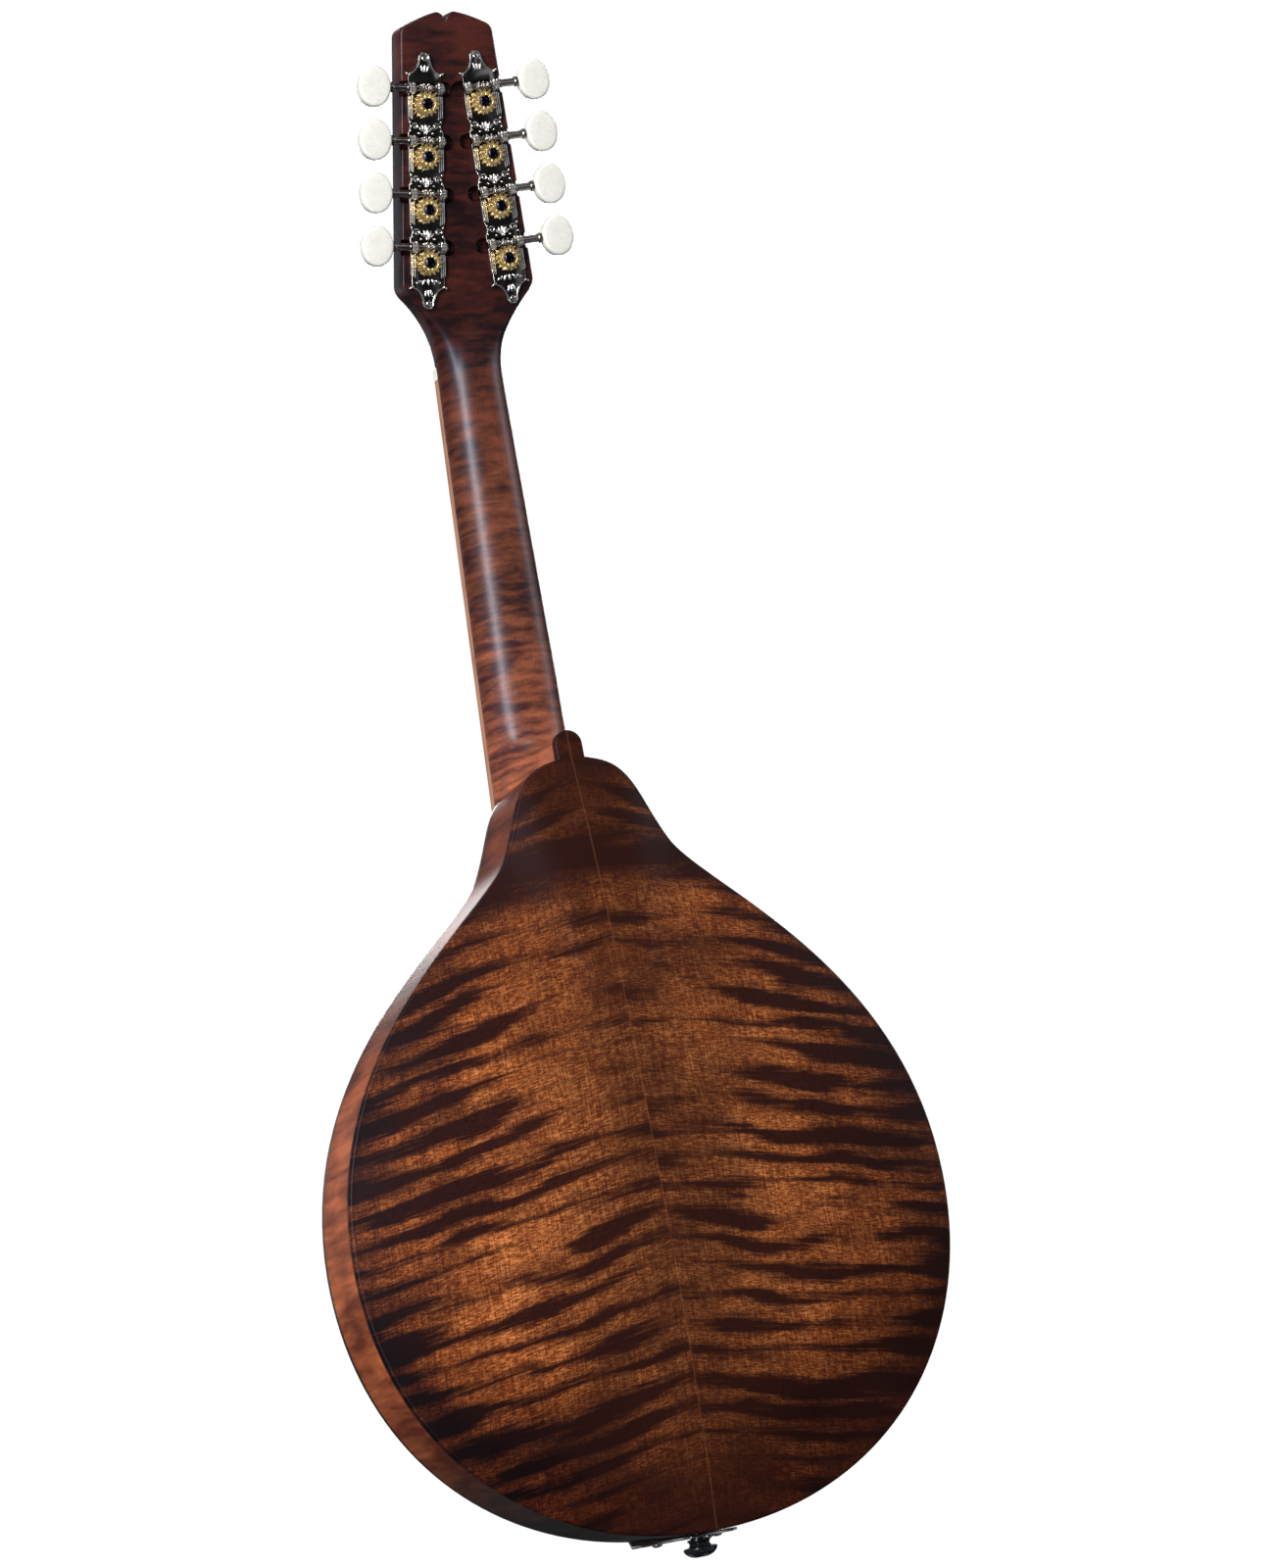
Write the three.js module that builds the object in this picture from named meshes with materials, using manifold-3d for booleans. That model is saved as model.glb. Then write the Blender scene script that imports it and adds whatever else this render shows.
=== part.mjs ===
// An A-style mandolin with f-holes, in millimetres, +Z up.
//
// The instrument hangs upright: the neck runs up +Z to the headstock, the soundboard faces -Y, the
// carved back faces +Y and the treble side is +X. The origin is the middle of the neck at the nut,
// where the yoke of a wall hanger holds the instrument under the flare of the headstock.
//
// Three nested frames place the pieces:
//   bodyFrame  origin at the top end of the sound box, on the plane of the back's edge
//   neckFrame  origin on the fingerboard's face at the nut, z along the neck towards the head
//   headFrame  the same origin, tilted back by the headstock's angle
// Each tuner strip has one more frame, whose z runs along its row of string posts.
import * as THREE from 'three';
import { mergeVertices } from 'three/addons/utils/BufferGeometryUtils.js';
import Module from 'manifold-3d';

const wasm = await Module();
wasm.setup();

const RIGHT_ANGLE = Math.PI / 2;
const radians = THREE.MathUtils.degToRad;

// ---------------------------------------------------------------- driving dimensions

const GAP = 0.2; // glue line or seat between two pieces that touch
const MERGE_DISTANCE = 1e-4; // corners closer than this are one corner

const SCALE_LENGTH = 352; // nut to bridge saddle
const NECK_PITCH = radians(5.1); // neck against the body's plane
const HEAD_PITCH = radians(12); // headstock against the neck
const NUT_FACE_Y = -12; // fingerboard face in front of the origin, at the nut
const BODY_Y = 32.4; // plane of the back's edge, behind the origin
const BODY_Z = -186.1; // top end of the sound box, below the origin

const body = {
  halfWidth: 131.7,
  widestZ: -198.5,
  length: 328.5,
  shoulder: { x: 37, z: -39.5 },
  depth: 47.7, // over both plates, at the edge
  plateEdge: 4, // thickness of a plate at its edge
  plateMiddle: 5.5,
  backArch: 11.5,
  topArch: 12.5,
  ribThickness: 2,
  bridgeZ: -164.3,
};
const backInsideY = -body.plateEdge;
const topInsideY = -body.depth + body.plateEdge;

const neck = {
  nutHalfWidth: 14.5,
  halfWidthAt15: 19,
  boardThickness: 5,
  bindingWidth: 1.5,
  backAtNut: 20, // from the fingerboard's face to the back of the neck
  backAtHeel: 22.3,
  frets: 20,
  fretHeight: 1,
  fretWidth: 1.9,
};
const fretZ = (n) => -SCALE_LENGTH * (1 - 2 ** (-n / 12));
const boardEndZ = fretZ(neck.frets) - 6;
const halfWidthAt = (z) =>
  neck.nutHalfWidth + ((neck.halfWidthAt15 - neck.nutHalfWidth) * z) / fretZ(15);

const head = {
  face: 2.5, // front of the overlay behind the fingerboard's face
  overlay: 1.5,
  back: 16,
  earHalfWidth: 30.7,
  earZ: 40,
  shoulderHalfWidth: 21,
  shoulderZ: 154.5,
  tipX: 4.2,
  tipZ: 160.7,
  notchZ: 157,
};

const tuner = {
  rowAngle: radians(4.2), // each row of posts leans in towards the tip
  firstPost: { x: 18.35, z: 51.8 },
  pitch: 23,
  count: 4,
  plateHalfWidth: 8.1,
  plateThickness: 1.2,
  teeth: 15,
  gearThickness: 3.2,
  gearPitchRadius: 4.95,
  wormPitchRadius: 1.85,
  shaftRadius: 1.7,
  buttonCentre: 24.1, // from the post's axis out to the middle of the button
  buttonLength: 14.5,
  buttonHeight: 18,
  buttonThickness: 7,
  postRadius: 3,
  postTop: -8.5,
};
const plateBackY = head.back + GAP + tuner.plateThickness;
const gearMiddleY = plateBackY + GAP + tuner.gearThickness / 2;
const wormOffset = tuner.gearPitchRadius + tuner.wormPitchRadius;
const wormLead = (2 * Math.PI * tuner.gearPitchRadius) / tuner.teeth;

const courseNames = ['e', 'a', 'd', 'g'];
const stringRadius = { e: 0.14, a: 0.2, d: 0.33, g: 0.5 };
const stringing = {
  pairAtNut: 2.3,
  courseAtNut: 7.4,
  pairAtBridge: 2.7,
  courseAtBridge: 12.2,
  bottomAtNut: -1.4, // underside of a string in front of the fingerboard's face
  bottomAtBridge: -4,
  postY: -2.75,
};

const bridge = {
  baseLength: 112,
  baseHeight: 6.3,
  baseWidth: 11,
  postX: 26,
  postRadius: 2,
  wheelRadius: 6,
  wheelThickness: 3,
  saddleLength: 80,
  saddleWidth: 6.5,
};

const tail = {
  halfWidth: 21,
  sheet: 1.2,
  flangeBackY: -8,
  topEndZ: -276,
  hookZ: -304,
  pinY: -24,
};

// ---------------------------------------------------------------- materials

function material(color, roughness, metalness) {
  return new THREE.MeshStandardMaterial({ color, roughness, metalness });
}
const flamedMaple = material(0x6e3f1d, 0.3, 0);
const darkMaple = material(0x3c1712, 0.35, 0);
const sprucePlate = material(0x4a2412, 0.3, 0);
const bareWood = material(0xb98c5c, 0.7, 0);
const blackVeneer = material(0x15100f, 0.3, 0);
const rosewood = material(0x2e1b15, 0.5, 0);
const agedIvory = material(0xd8b78f, 0.45, 0);
const bone = material(0xf1ece0, 0.4, 0);
const nickel = material(0xc8c8c6, 0.2, 1);
const darkSteel = material(0x57524f, 0.3, 1);
const brass = material(0xc79b4f, 0.3, 1);
const pearlyPlastic = material(0xe9e5da, 0.25, 0);
const bronzeWire = material(0xa9794a, 0.35, 1);
const plainSteelWire = material(0xb5b5b3, 0.3, 1);
const blackPlastic = material(0x101010, 0.35, 0);

// ---------------------------------------------------------------- solids

// A closed solid from a geometry: only positions matter, and shared corners are merged.
function solid(geometry) {
  const bare = geometry.clone();
  bare.deleteAttribute('normal');
  bare.deleteAttribute('uv');
  const merged = mergeVertices(bare, MERGE_DISTANCE);
  return new wasm.Manifold(
    new wasm.Mesh({
      numProp: 3,
      vertProperties: new Float32Array(merged.attributes.position.array),
      triVerts: new Uint32Array(merged.index.array),
    }),
  );
}

function geometryOf(manifold) {
  const mesh = manifold.getMesh();
  const geometry = new THREE.BufferGeometry();
  geometry.setAttribute('position', new THREE.BufferAttribute(mesh.vertProperties, 3));
  geometry.setIndex(new THREE.BufferAttribute(mesh.triVerts, 1));
  geometry.computeVertexNormals();
  return geometry;
}

function join(geometries) {
  const solids = geometries.map(solid);
  return geometryOf(solids.reduce((whole, next) => whole.add(next)));
}

function cut(geometry, cutters) {
  const start = solid(geometry);
  return geometryOf(cutters.map(solid).reduce((rest, cutter) => rest.subtract(cutter), start));
}

// Six times the volume that a triangle mesh encloses, negative if its faces point inwards.
function signedVolume(positions, index) {
  const [a, b, c] = [new THREE.Vector3(), new THREE.Vector3(), new THREE.Vector3()];
  let volume = 0;
  for (let i = 0; i < index.length; i += 3) {
    a.fromArray(positions, 3 * index[i]);
    b.fromArray(positions, 3 * index[i + 1]);
    c.fromArray(positions, 3 * index[i + 2]);
    volume += a.dot(b.cross(c));
  }
  return volume;
}

// A geometry whose faces point out: each triangle is turned over if the mesh is inside out.
function turnedOut(positions, index) {
  const turnedOver = [0, 2, 1];
  const insideOut = signedVolume(positions, index) < 0;
  const outward = insideOut ? index.map((_, i) => index[i - (i % 3) + turnedOver[i % 3]]) : index;
  const geometry = new THREE.BufferGeometry();
  geometry.setAttribute('position', new THREE.Float32BufferAttribute(positions, 3));
  geometry.setIndex(outward);
  geometry.computeVertexNormals();
  return geometry;
}

// A closed solid through a row of rings, each a closed loop with the same number of points.
// Its two ends are fans around the middle of the first and the last ring.
function loft(rings) {
  const count = rings[0].length;
  const middleOf = (ring) => ring.reduce((sum, p) => sum.add(p), new THREE.Vector3()).divideScalar(count);
  const points = [...rings.flat(), middleOf(rings[0]), middleOf(rings.at(-1))];
  const firstMiddle = points.length - 2;
  const lastRing = (rings.length - 1) * count;
  const index = [];
  for (let i = 0; i < count; i++) {
    const next = (i + 1) % count;
    for (let r = 0; r < lastRing; r += count) {
      index.push(r + i, r + next, r + count + next, r + i, r + count + next, r + count + i);
    }
    index.push(firstMiddle, next, i, firstMiddle + 1, lastRing + i, lastRing + next);
  }
  return turnedOut(points.flatMap((p) => p.toArray()), index);
}

function mirroredInX(geometry) {
  const mirrored = geometry.index ? geometry.clone() : mergeVertices(geometry.clone());
  mirrored.scale(-1, 1, 1);
  return turnedOut([...mirrored.attributes.position.array], [...mirrored.index.array]);
}

// A shape drawn in (x, z), given thickness from y = back to y = front.
function slab(shape, back, front, curveSegments = 8) {
  const geometry = new THREE.ExtrudeGeometry(shape, {
    depth: back - front,
    bevelEnabled: false,
    curveSegments,
  });
  return geometry.rotateX(RIGHT_ANGLE).translate(0, back, 0);
}

// A shape drawn in (z, y), given width along x about the middle plane.
function crossbar(shape, width, curveSegments = 8) {
  const geometry = new THREE.ExtrudeGeometry(shape, {
    depth: width,
    bevelEnabled: false,
    curveSegments,
  });
  return geometry.rotateY(-RIGHT_ANGLE).translate(width / 2, 0, 0);
}

// The same solid with shared corners merged and its faces turned outwards.
function facingOut(geometry) {
  const bare = geometry.clone();
  bare.deleteAttribute('normal');
  bare.deleteAttribute('uv');
  const merged = mergeVertices(bare, MERGE_DISTANCE);
  return turnedOut([...merged.attributes.position.array], [...merged.index.array]);
}

function box(xs, ys, zs) {
  const size = [xs, ys, zs].map(([low, high]) => high - low);
  const middle = [xs, ys, zs].map(([low, high]) => (low + high) / 2);
  return new THREE.BoxGeometry(...size).translate(...middle);
}

// A round bar along y, through (x, z).
function pinAlongY(radius, back, front, x, z, sides = 10) {
  const bar = new THREE.CylinderGeometry(radius, radius, back - front, sides);
  return bar.translate(x, (back + front) / 2, z);
}

function pinAlongZ(radius, low, high, x, y, sides = 10) {
  const bar = new THREE.CylinderGeometry(radius, radius, high - low, sides);
  return bar.rotateX(RIGHT_ANGLE).translate(x, y, (low + high) / 2);
}

function pinAlongX(radius, low, high, y, z, sides = 10) {
  const bar = new THREE.CylinderGeometry(radius, radius, high - low, sides);
  return bar.rotateZ(RIGHT_ANGLE).translate((low + high) / 2, y, z);
}

function polygon(points) {
  return new THREE.Shape(points.map(([x, y]) => new THREE.Vector2(x, y)));
}

function addMesh(parent, name, geometry, meshMaterial) {
  const mesh = new THREE.Mesh(geometry, meshMaterial);
  mesh.name = name;
  parent.add(mesh);
}

// ---------------------------------------------------------------- sound box

// Half of the outline in (x, z), from the top end round the treble side to the tail end:
// a round cap at the neck, a hollow shoulder, and a nearly elliptical lower bout.
function halfOutlinePath() {
  const { halfWidth, widestZ, length, shoulder } = body;
  const path = new THREE.CurvePath();
  const v = (x, z) => new THREE.Vector2(x, z);
  const inShoulder = v(shoulder.x, shoulder.z);
  const widest = v(halfWidth, widestZ);
  path.add(new THREE.CubicBezierCurve(v(0, 0), v(27.5, 0), v(25.6, -17.6), inShoulder));
  path.add(new THREE.CubicBezierCurve(inShoulder, v(48.3, -62), v(halfWidth, -105), widest));
  path.add(new THREE.CubicBezierCurve(widest, v(halfWidth, -275.5), v(75.6, -length), v(0, -length)));
  return path;
}

// Points along the half outline, moved inwards by inset.
function halfOutline(inset = 0) {
  const stepsOnCurve = [5, 8, 9];
  const points = [];
  halfOutlinePath().curves.forEach((curve, i) => {
    for (let step = i === 0 ? 0 : 1; step <= stepsOnCurve[i]; step++) {
      const t = step / stepsOnCurve[i];
      const along = curve.getTangent(t);
      points.push(curve.getPoint(t).add(new THREE.Vector2(along.y, -along.x).multiplyScalar(inset)));
    }
  });
  points[0].x = 0;
  points.at(-1).x = 0;
  return points;
}

function wholeOutline(inset = 0) {
  const half = halfOutline(inset);
  const otherHalf = half.slice(1, -1).reverse();
  return [...half, ...otherHalf.map((p) => new THREE.Vector2(-p.x, p.y))];
}

// Height of a carved plate over its edge, from 0 at the edge to 1 in the middle.
const carving = (fromEdge) => 1 - (1 - fromEdge) ** 2.5;

// A carved plate: a dome outside, hollowed inside but for a flat band that the ribs are glued to.
// outward is +1 for the back and -1 for the soundboard.
function carvedPlate(edgeY, arch, outward) {
  const flatBand = 0.09;
  const fractions = [0, 0.06, 0.18, 0.4, 0.7];
  const centre = new THREE.Vector2(0, body.bridgeZ);
  const outline = wholeOutline();
  const ring = (fromEdge, y) =>
    outline.map((p) => {
      const q = p.clone().lerp(centre, fromEdge);
      return new THREE.Vector3(q.x, y, q.y);
    });
  const outer = (t) => edgeY + outward * arch * carving(t);
  const inner = (t) => {
    const hollow = carving(Math.max(0, (t - flatBand) / (1 - flatBand)));
    const deeper = (body.plateMiddle - body.plateEdge) * hollow;
    return edgeY - outward * (body.plateEdge + deeper - arch * hollow);
  };
  const innerFractions = [0, flatBand, ...fractions.slice(2)];
  return loft([
    ...fractions.map((t) => ring(t, outer(t))).reverse(),
    ...innerFractions.map((t) => ring(t, inner(t))),
  ]);
}

// The back ends in a round tab that covers the end of the neck's heel.
const heelTab = { halfWidth: 6.2, topZ: 12.3, rootZ: -8 };

function backPlate() {
  const { halfWidth, topZ, rootZ } = heelTab;
  const tab = new THREE.Shape();
  tab.moveTo(-halfWidth, rootZ);
  tab.lineTo(halfWidth, rootZ);
  tab.absarc(0, topZ - halfWidth, halfWidth, 0, Math.PI);
  return join([carvedPlate(0, body.backArch, 1), slab(tab, 0, backInsideY, 5)]);
}

// One f-hole: two round eyes joined by a slot that hooks over the upper eye and under the lower one.
// It is on the treble side for side = 1.
function fHoleCutters(side) {
  const eyes = [
    { x: 47, z: -127, r: 4 },
    { x: 63, z: -196, r: 5.2 },
  ];
  const spine = new THREE.CubicBezierCurve(
    new THREE.Vector2(side * 47, -122.5),
    new THREE.Vector2(side * 62, -108),
    new THREE.Vector2(side * 46, -214),
    new THREE.Vector2(side * 64, -200.5),
  );
  const steps = 10;
  const edge = (sign) =>
    Array.from({ length: steps + 1 }, (_, i) => {
      const t = i / steps;
      const halfSlot = 0.8 + 1.9 * Math.sin(Math.PI * t) ** 0.7;
      const along = spine.getTangent(t);
      return spine.getPoint(t).add(new THREE.Vector2(along.y, -along.x).multiplyScalar(sign * halfSlot));
    });
  const outside = -body.depth - body.topArch - 5;
  const slot = slab(new THREE.Shape([...edge(1), ...edge(-1).reverse()]), topInsideY + 5, outside);
  const holes = eyes.map(({ x, z, r }) => pinAlongY(r, topInsideY + 5, outside, side * x, z, 14));
  return [slot, ...holes];
}

function soundboard() {
  const plate = carvedPlate(-body.depth, body.topArch, -1);
  return cut(plate, [...fHoleCutters(1), ...fHoleCutters(-1)]);
}

// A strip that follows the outline between two insets, from a point near the neck to one near the tail.
function sideStrip(outerInset, innerInset, from, to) {
  const keep = (points) => points.filter((p) => p.y < from && p.y > to);
  const outer = keep(halfOutline(outerInset));
  const inner = keep(halfOutline(innerInset));
  return new THREE.Shape([...outer, ...inner.reverse()]);
}

const THROUGH_BODY = [-60, 5]; // y of a cut that passes right through the sound box
const tenon = { halfWidth: 6.5, depth: 14 };
const endPin = { shankRadius: 3.4, capRadius: 7.2, flatRadius: 5 };

function endPinHole() {
  const end = -body.length;
  return pinAlongZ(endPin.shankRadius + 0.3, end - 5, end + 14, 0, tail.pinY, 12);
}

// One side of the sound box, bent from the neck to the seam over the end pin.
function rib() {
  const backEdge = backInsideY - GAP;
  const frontEdge = topInsideY + GAP;
  const inner = halfOutline(body.ribThickness).reverse();
  const strip = slab(new THREE.Shape([...halfOutline(), ...inner]), backEdge, frontEdge);
  const throughNeck = box([-1, tenon.halfWidth + GAP], THROUGH_BODY, [-20, 5]);
  const atTailSeam = box([-1, 0.1], THROUGH_BODY, [-body.length - 5, -body.length + 20]);
  return cut(strip, [throughNeck, atTailSeam, endPinHole()]);
}

const liningSize = { width: 5, height: 6 };
const blockHalfWidth = 29;

// A kerfed lining runs round the sound box from one side of the neck block to the other.
function lining(backY, frontY) {
  const inset = body.ribThickness + GAP;
  const outer = slab(new THREE.Shape(wholeOutline(inset)), backY, frontY);
  const inner = slab(new THREE.Shape(wholeOutline(inset + liningSize.width)), backY + 1, frontY - 1);
  const neckBlockSpace = box([-blockHalfWidth - GAP, blockHalfWidth + GAP], THROUGH_BODY, [-60, 5]);
  return cut(outer, [inner, neckBlockSpace]);
}

// A block fills the sound box across its width, to the given depth from the end of the outline.
function endBlock(backY, frontY, zs) {
  const inside = slab(new THREE.Shape(wholeOutline(body.ribThickness + GAP)), backY, frontY);
  const block = box([-blockHalfWidth, blockHalfWidth], [frontY - 1, backY + 1], zs);
  return geometryOf(solid(inside).intersect(solid(block)));
}

function neckBlock() {
  const block = endBlock(backInsideY - GAP, topInsideY + GAP, [-46, 5]);
  const mortiseHalfWidth = tenon.halfWidth + GAP;
  const mortise = box([-mortiseHalfWidth, mortiseHalfWidth], THROUGH_BODY, [-tenon.depth - GAP, 5]);
  return cut(block, [mortise]);
}

function tailBlock() {
  const clearOfLining = liningSize.height + 2 * GAP;
  const end = -body.length;
  const block = endBlock(backInsideY - clearOfLining, topInsideY + clearOfLining, [end - 1, end + 18]);
  return cut(block, [endPinHole()]);
}

// Distance of a point of the plates from the edge, as a fraction of the way to the middle.
function fromEdgeAt(x, z) {
  const centre = new THREE.Vector2(0, body.bridgeZ);
  const direction = new THREE.Vector2(x, z).sub(centre);
  const reach = direction.length();
  const bearing = direction.angle();
  const rim = wholeOutline().map((p) => p.sub(centre));
  const offBearing = (p) => Math.abs(Math.sin((p.angle() - bearing) / 2));
  const nearest = rim.reduce((best, p) => (offBearing(p) < offBearing(best) ? p : best));
  return reach < 1 ? 1 : 1 - reach / nearest.length();
}
const soundboardFaceY = (x, z) => -body.depth - body.topArch * carving(fromEdgeAt(x, z));

// A tone bar is glued along the hollow inside of the soundboard and tapers at both ends.
function toneBar(side) {
  const top = { x: side * 24, z: -80 };
  const bottom = { x: side * 44, z: -262 };
  const steps = 8;
  const fit = 1.6; // clears the facets of the hollow
  const rings = Array.from({ length: steps + 1 }, (_, i) => {
    const t = i / steps;
    const x = THREE.MathUtils.lerp(top.x, bottom.x, t);
    const z = THREE.MathUtils.lerp(top.z, bottom.z, t);
    const glued = soundboardFaceY(x, z) + body.plateMiddle + fit;
    const height = 3 + 8 * Math.sin(Math.PI * t);
    return [
      new THREE.Vector3(x - 3, glued, z),
      new THREE.Vector3(x + 3, glued, z),
      new THREE.Vector3(x + 1.5, glued + height, z),
      new THREE.Vector3(x - 1.5, glued + height, z),
    ];
  });
  return loft(rings);
}

function addSoundBox(frame) {
  addMesh(frame, 'back_plate', backPlate(), flamedMaple);
  addMesh(frame, 'soundboard', soundboard(), sprucePlate);
  addMesh(frame, 'treble_rib', rib(), darkMaple);
  addMesh(frame, 'bass_rib', mirroredInX(rib()), darkMaple);
  addMesh(frame, 'neck_block', neckBlock(), bareWood);
  addMesh(frame, 'tail_block', tailBlock(), bareWood);
  const backGlue = backInsideY - GAP;
  const topGlue = topInsideY + GAP;
  addMesh(frame, 'back_lining', lining(backGlue, backGlue - liningSize.height), bareWood);
  addMesh(frame, 'top_lining', lining(topGlue + liningSize.height, topGlue), bareWood);
  addMesh(frame, 'treble_tone_bar', toneBar(1), bareWood);
  addMesh(frame, 'bass_tone_bar', toneBar(-1), bareWood);
}

// ---------------------------------------------------------------- frames

const mandolin = new THREE.Group();

const bodyFrame = new THREE.Group();
bodyFrame.position.set(0, BODY_Y, BODY_Z);
mandolin.add(bodyFrame);

const neckFrame = new THREE.Group();
neckFrame.position.set(0, NUT_FACE_Y, 0);
neckFrame.rotation.x = -NECK_PITCH;
mandolin.add(neckFrame);

const headFrame = new THREE.Group();
headFrame.rotation.x = -HEAD_PITCH;
neckFrame.add(headFrame);

mandolin.updateMatrixWorld(true);

// A geometry or a point drawn in one frame, seen from another.
function moved(thing, from, to) {
  const change = to.matrixWorld.clone().invert().multiply(from.matrixWorld);
  return thing.clone().applyMatrix4(change);
}

// ---------------------------------------------------------------- neck and headstock

// A ring across the neck: flat in front, rounded behind. A high power squares the back's corners.
function neckRing(halfWidth, frontY, backY, power, place) {
  const steps = 10;
  const points = [];
  for (let i = 0; i <= steps; i++) {
    const angle = (Math.PI * i) / steps;
    const across = Math.sign(Math.cos(angle)) * Math.abs(Math.cos(angle)) ** (2 / power);
    const deep = Math.sin(angle) ** (2 / power);
    points.push(place(halfWidth * across, frontY + (backY - frontY) * deep));
  }
  return points;
}

const inNeck = (z) => (x, y) => new THREE.Vector3(x, y, z);
const inHead = (z) => (x, y) => moved(new THREE.Vector3(x, y, z), headFrame, neckFrame);

// Half width of the neck's flare: an arc that leaves the nut straight and reaches the ears.
function flareHalfWidth(z) {
  const rise = head.earZ - 3;
  const reach = head.earHalfWidth - neck.nutHalfWidth;
  const radius = (rise ** 2 + reach ** 2) / (2 * reach);
  return neck.nutHalfWidth + radius - Math.sqrt(radius ** 2 - Math.max(0, z - 3) ** 2);
}

// The neck's shaft and its flare, from inside the sound box to the headstock's ears.
function neckShaft() {
  const top = neck.boardThickness + GAP;
  const overlayBack = head.face + head.overlay + GAP;
  const endZ = -205;
  const shaft = [endZ, -150, -80, -30, -10].map((z) => {
    const back = THREE.MathUtils.lerp(neck.backAtNut, neck.backAtHeel, z / endZ);
    return neckRing(halfWidthAt(z), top, back, 2.3, inNeck(z));
  });
  const flare = [6, 12, 18, 24, 30, 36].map((z) => {
    const t = (z - 6) / 30;
    const back = head.back + 3.2 * (1 - THREE.MathUtils.smoothstep(t, 0, 1));
    return neckRing(flareHalfWidth(z), overlayBack, back, 2.6 + 6 * t ** 1.5, inHead(z));
  });
  return loft([...shaft, ...flare]);
}

// The headstock's outline: straight sides between the ears and the shoulders, and two low humps
// with a notch between them at the tip.
function headOutline(fromZ) {
  const { earHalfWidth, earZ, shoulderHalfWidth, shoulderZ, tipX, tipZ, notchZ } = head;
  const shape = new THREE.Shape();
  const flare = [];
  for (let z = fromZ; z < earZ - 3; z += 6) flare.push([flareHalfWidth(z), z]);
  shape.moveTo(-flare[0][0], fromZ);
  flare.forEach(([x, z]) => shape.lineTo(x, z));
  shape.quadraticCurveTo(earHalfWidth, earZ, earHalfWidth - 0.25, earZ + 3);
  shape.lineTo(shoulderHalfWidth + 0.3, shoulderZ - 3);
  shape.quadraticCurveTo(shoulderHalfWidth, shoulderZ, shoulderHalfWidth - 3, shoulderZ + 1.2);
  shape.quadraticCurveTo(tipX + 6, tipZ - 1.2, tipX, tipZ);
  shape.quadraticCurveTo(1.4, tipZ, 0, notchZ);
  shape.quadraticCurveTo(-1.4, tipZ, -tipX, tipZ);
  shape.quadraticCurveTo(-tipX - 6, tipZ - 1.2, -shoulderHalfWidth + 3, shoulderZ + 1.2);
  shape.quadraticCurveTo(-shoulderHalfWidth, shoulderZ, -shoulderHalfWidth - 0.3, shoulderZ - 3);
  shape.lineTo(-earHalfWidth + 0.25, earZ + 3);
  shape.quadraticCurveTo(-earHalfWidth, earZ, -flare.at(-1)[0], flare.at(-1)[1]);
  flare.reverse().forEach(([x, z]) => shape.lineTo(-x, z));
  return shape;
}

// Where a string post stands, in the head frame. side is 1 for the treble row, -1 for the bass row.
function postPlace(side, i) {
  const along = tuner.pitch * i;
  return {
    x: side * (tuner.firstPost.x - along * Math.sin(tuner.rowAngle)),
    z: tuner.firstPost.z + along * Math.cos(tuner.rowAngle),
  };
}

const posts = [1, -1].flatMap((side) =>
  Array.from({ length: tuner.count }, (_, i) => ({ side, i, ...postPlace(side, i) })),
);

function postHoles(back, front) {
  return posts.map(({ x, z }) => pinAlongY(tuner.postRadius + 0.4, back, front, x, z, 8));
}

// A groove runs in under each worm from the headstock's side, and ends in a round nose.
function shaftGrooves() {
  const width = 7;
  const depth = 3.4;
  const noseX = -13;
  const beyondSide = 25;
  const shape = new THREE.Shape();
  shape.moveTo(beyondSide, -width / 2);
  shape.lineTo(beyondSide, width / 2);
  shape.lineTo(noseX + width / 2, width / 2);
  shape.absarc(noseX + width / 2, 0, width / 2, RIGHT_ANGLE, 3 * RIGHT_ANGLE);
  const groove = slab(shape, head.back + 6, head.back - depth, 3);
  return posts.map(({ side, x, z }) => {
    const placed = (side > 0 ? groove : mirroredInX(groove)).clone();
    return placed
      .translate(0, 0, wormOffset)
      .rotateY(-side * tuner.rowAngle)
      .translate(x, 0, z);
  });
}

const trussRod = { radius: 2.5, y: 10.5, lowZ: -168, highZ: 17 };
const trussPocket = { halfWidth: 5.2, back: 15, lowZ: 6.5, highZ: 24 };

// The heel: rounded level outlines stacked from the heel's cap on the back up to the neck's underside.
function heel() {
  const blend = 13;
  const levels = [-4.2, -13, -21, -28, -32.5, -36, -39].map((y) => {
    const t = THREE.MathUtils.clamp((backInsideY - y) / 35, 0, 1);
    const intoBlend = Math.max(0, -26 - y);
    const reach = 12.2 + blend - Math.sqrt(Math.max(0, blend ** 2 - intoBlend ** 2));
    return { y, halfWidth: 6.2 + 11.5 * t ** 1.6, reach };
  });
  const steps = 8;
  const rings = levels.map(({ y, halfWidth, reach }) =>
    Array.from({ length: steps + 1 }, (_, i) => {
      const angle = (Math.PI * i) / steps;
      const x = halfWidth * Math.sign(Math.cos(angle)) * Math.abs(Math.cos(angle)) ** 0.8;
      return new THREE.Vector3(x, y, -9 + (9 + reach) * Math.sin(angle) ** 0.8);
    }),
  );
  return moved(loft(rings), bodyFrame, neckFrame);
}

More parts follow.
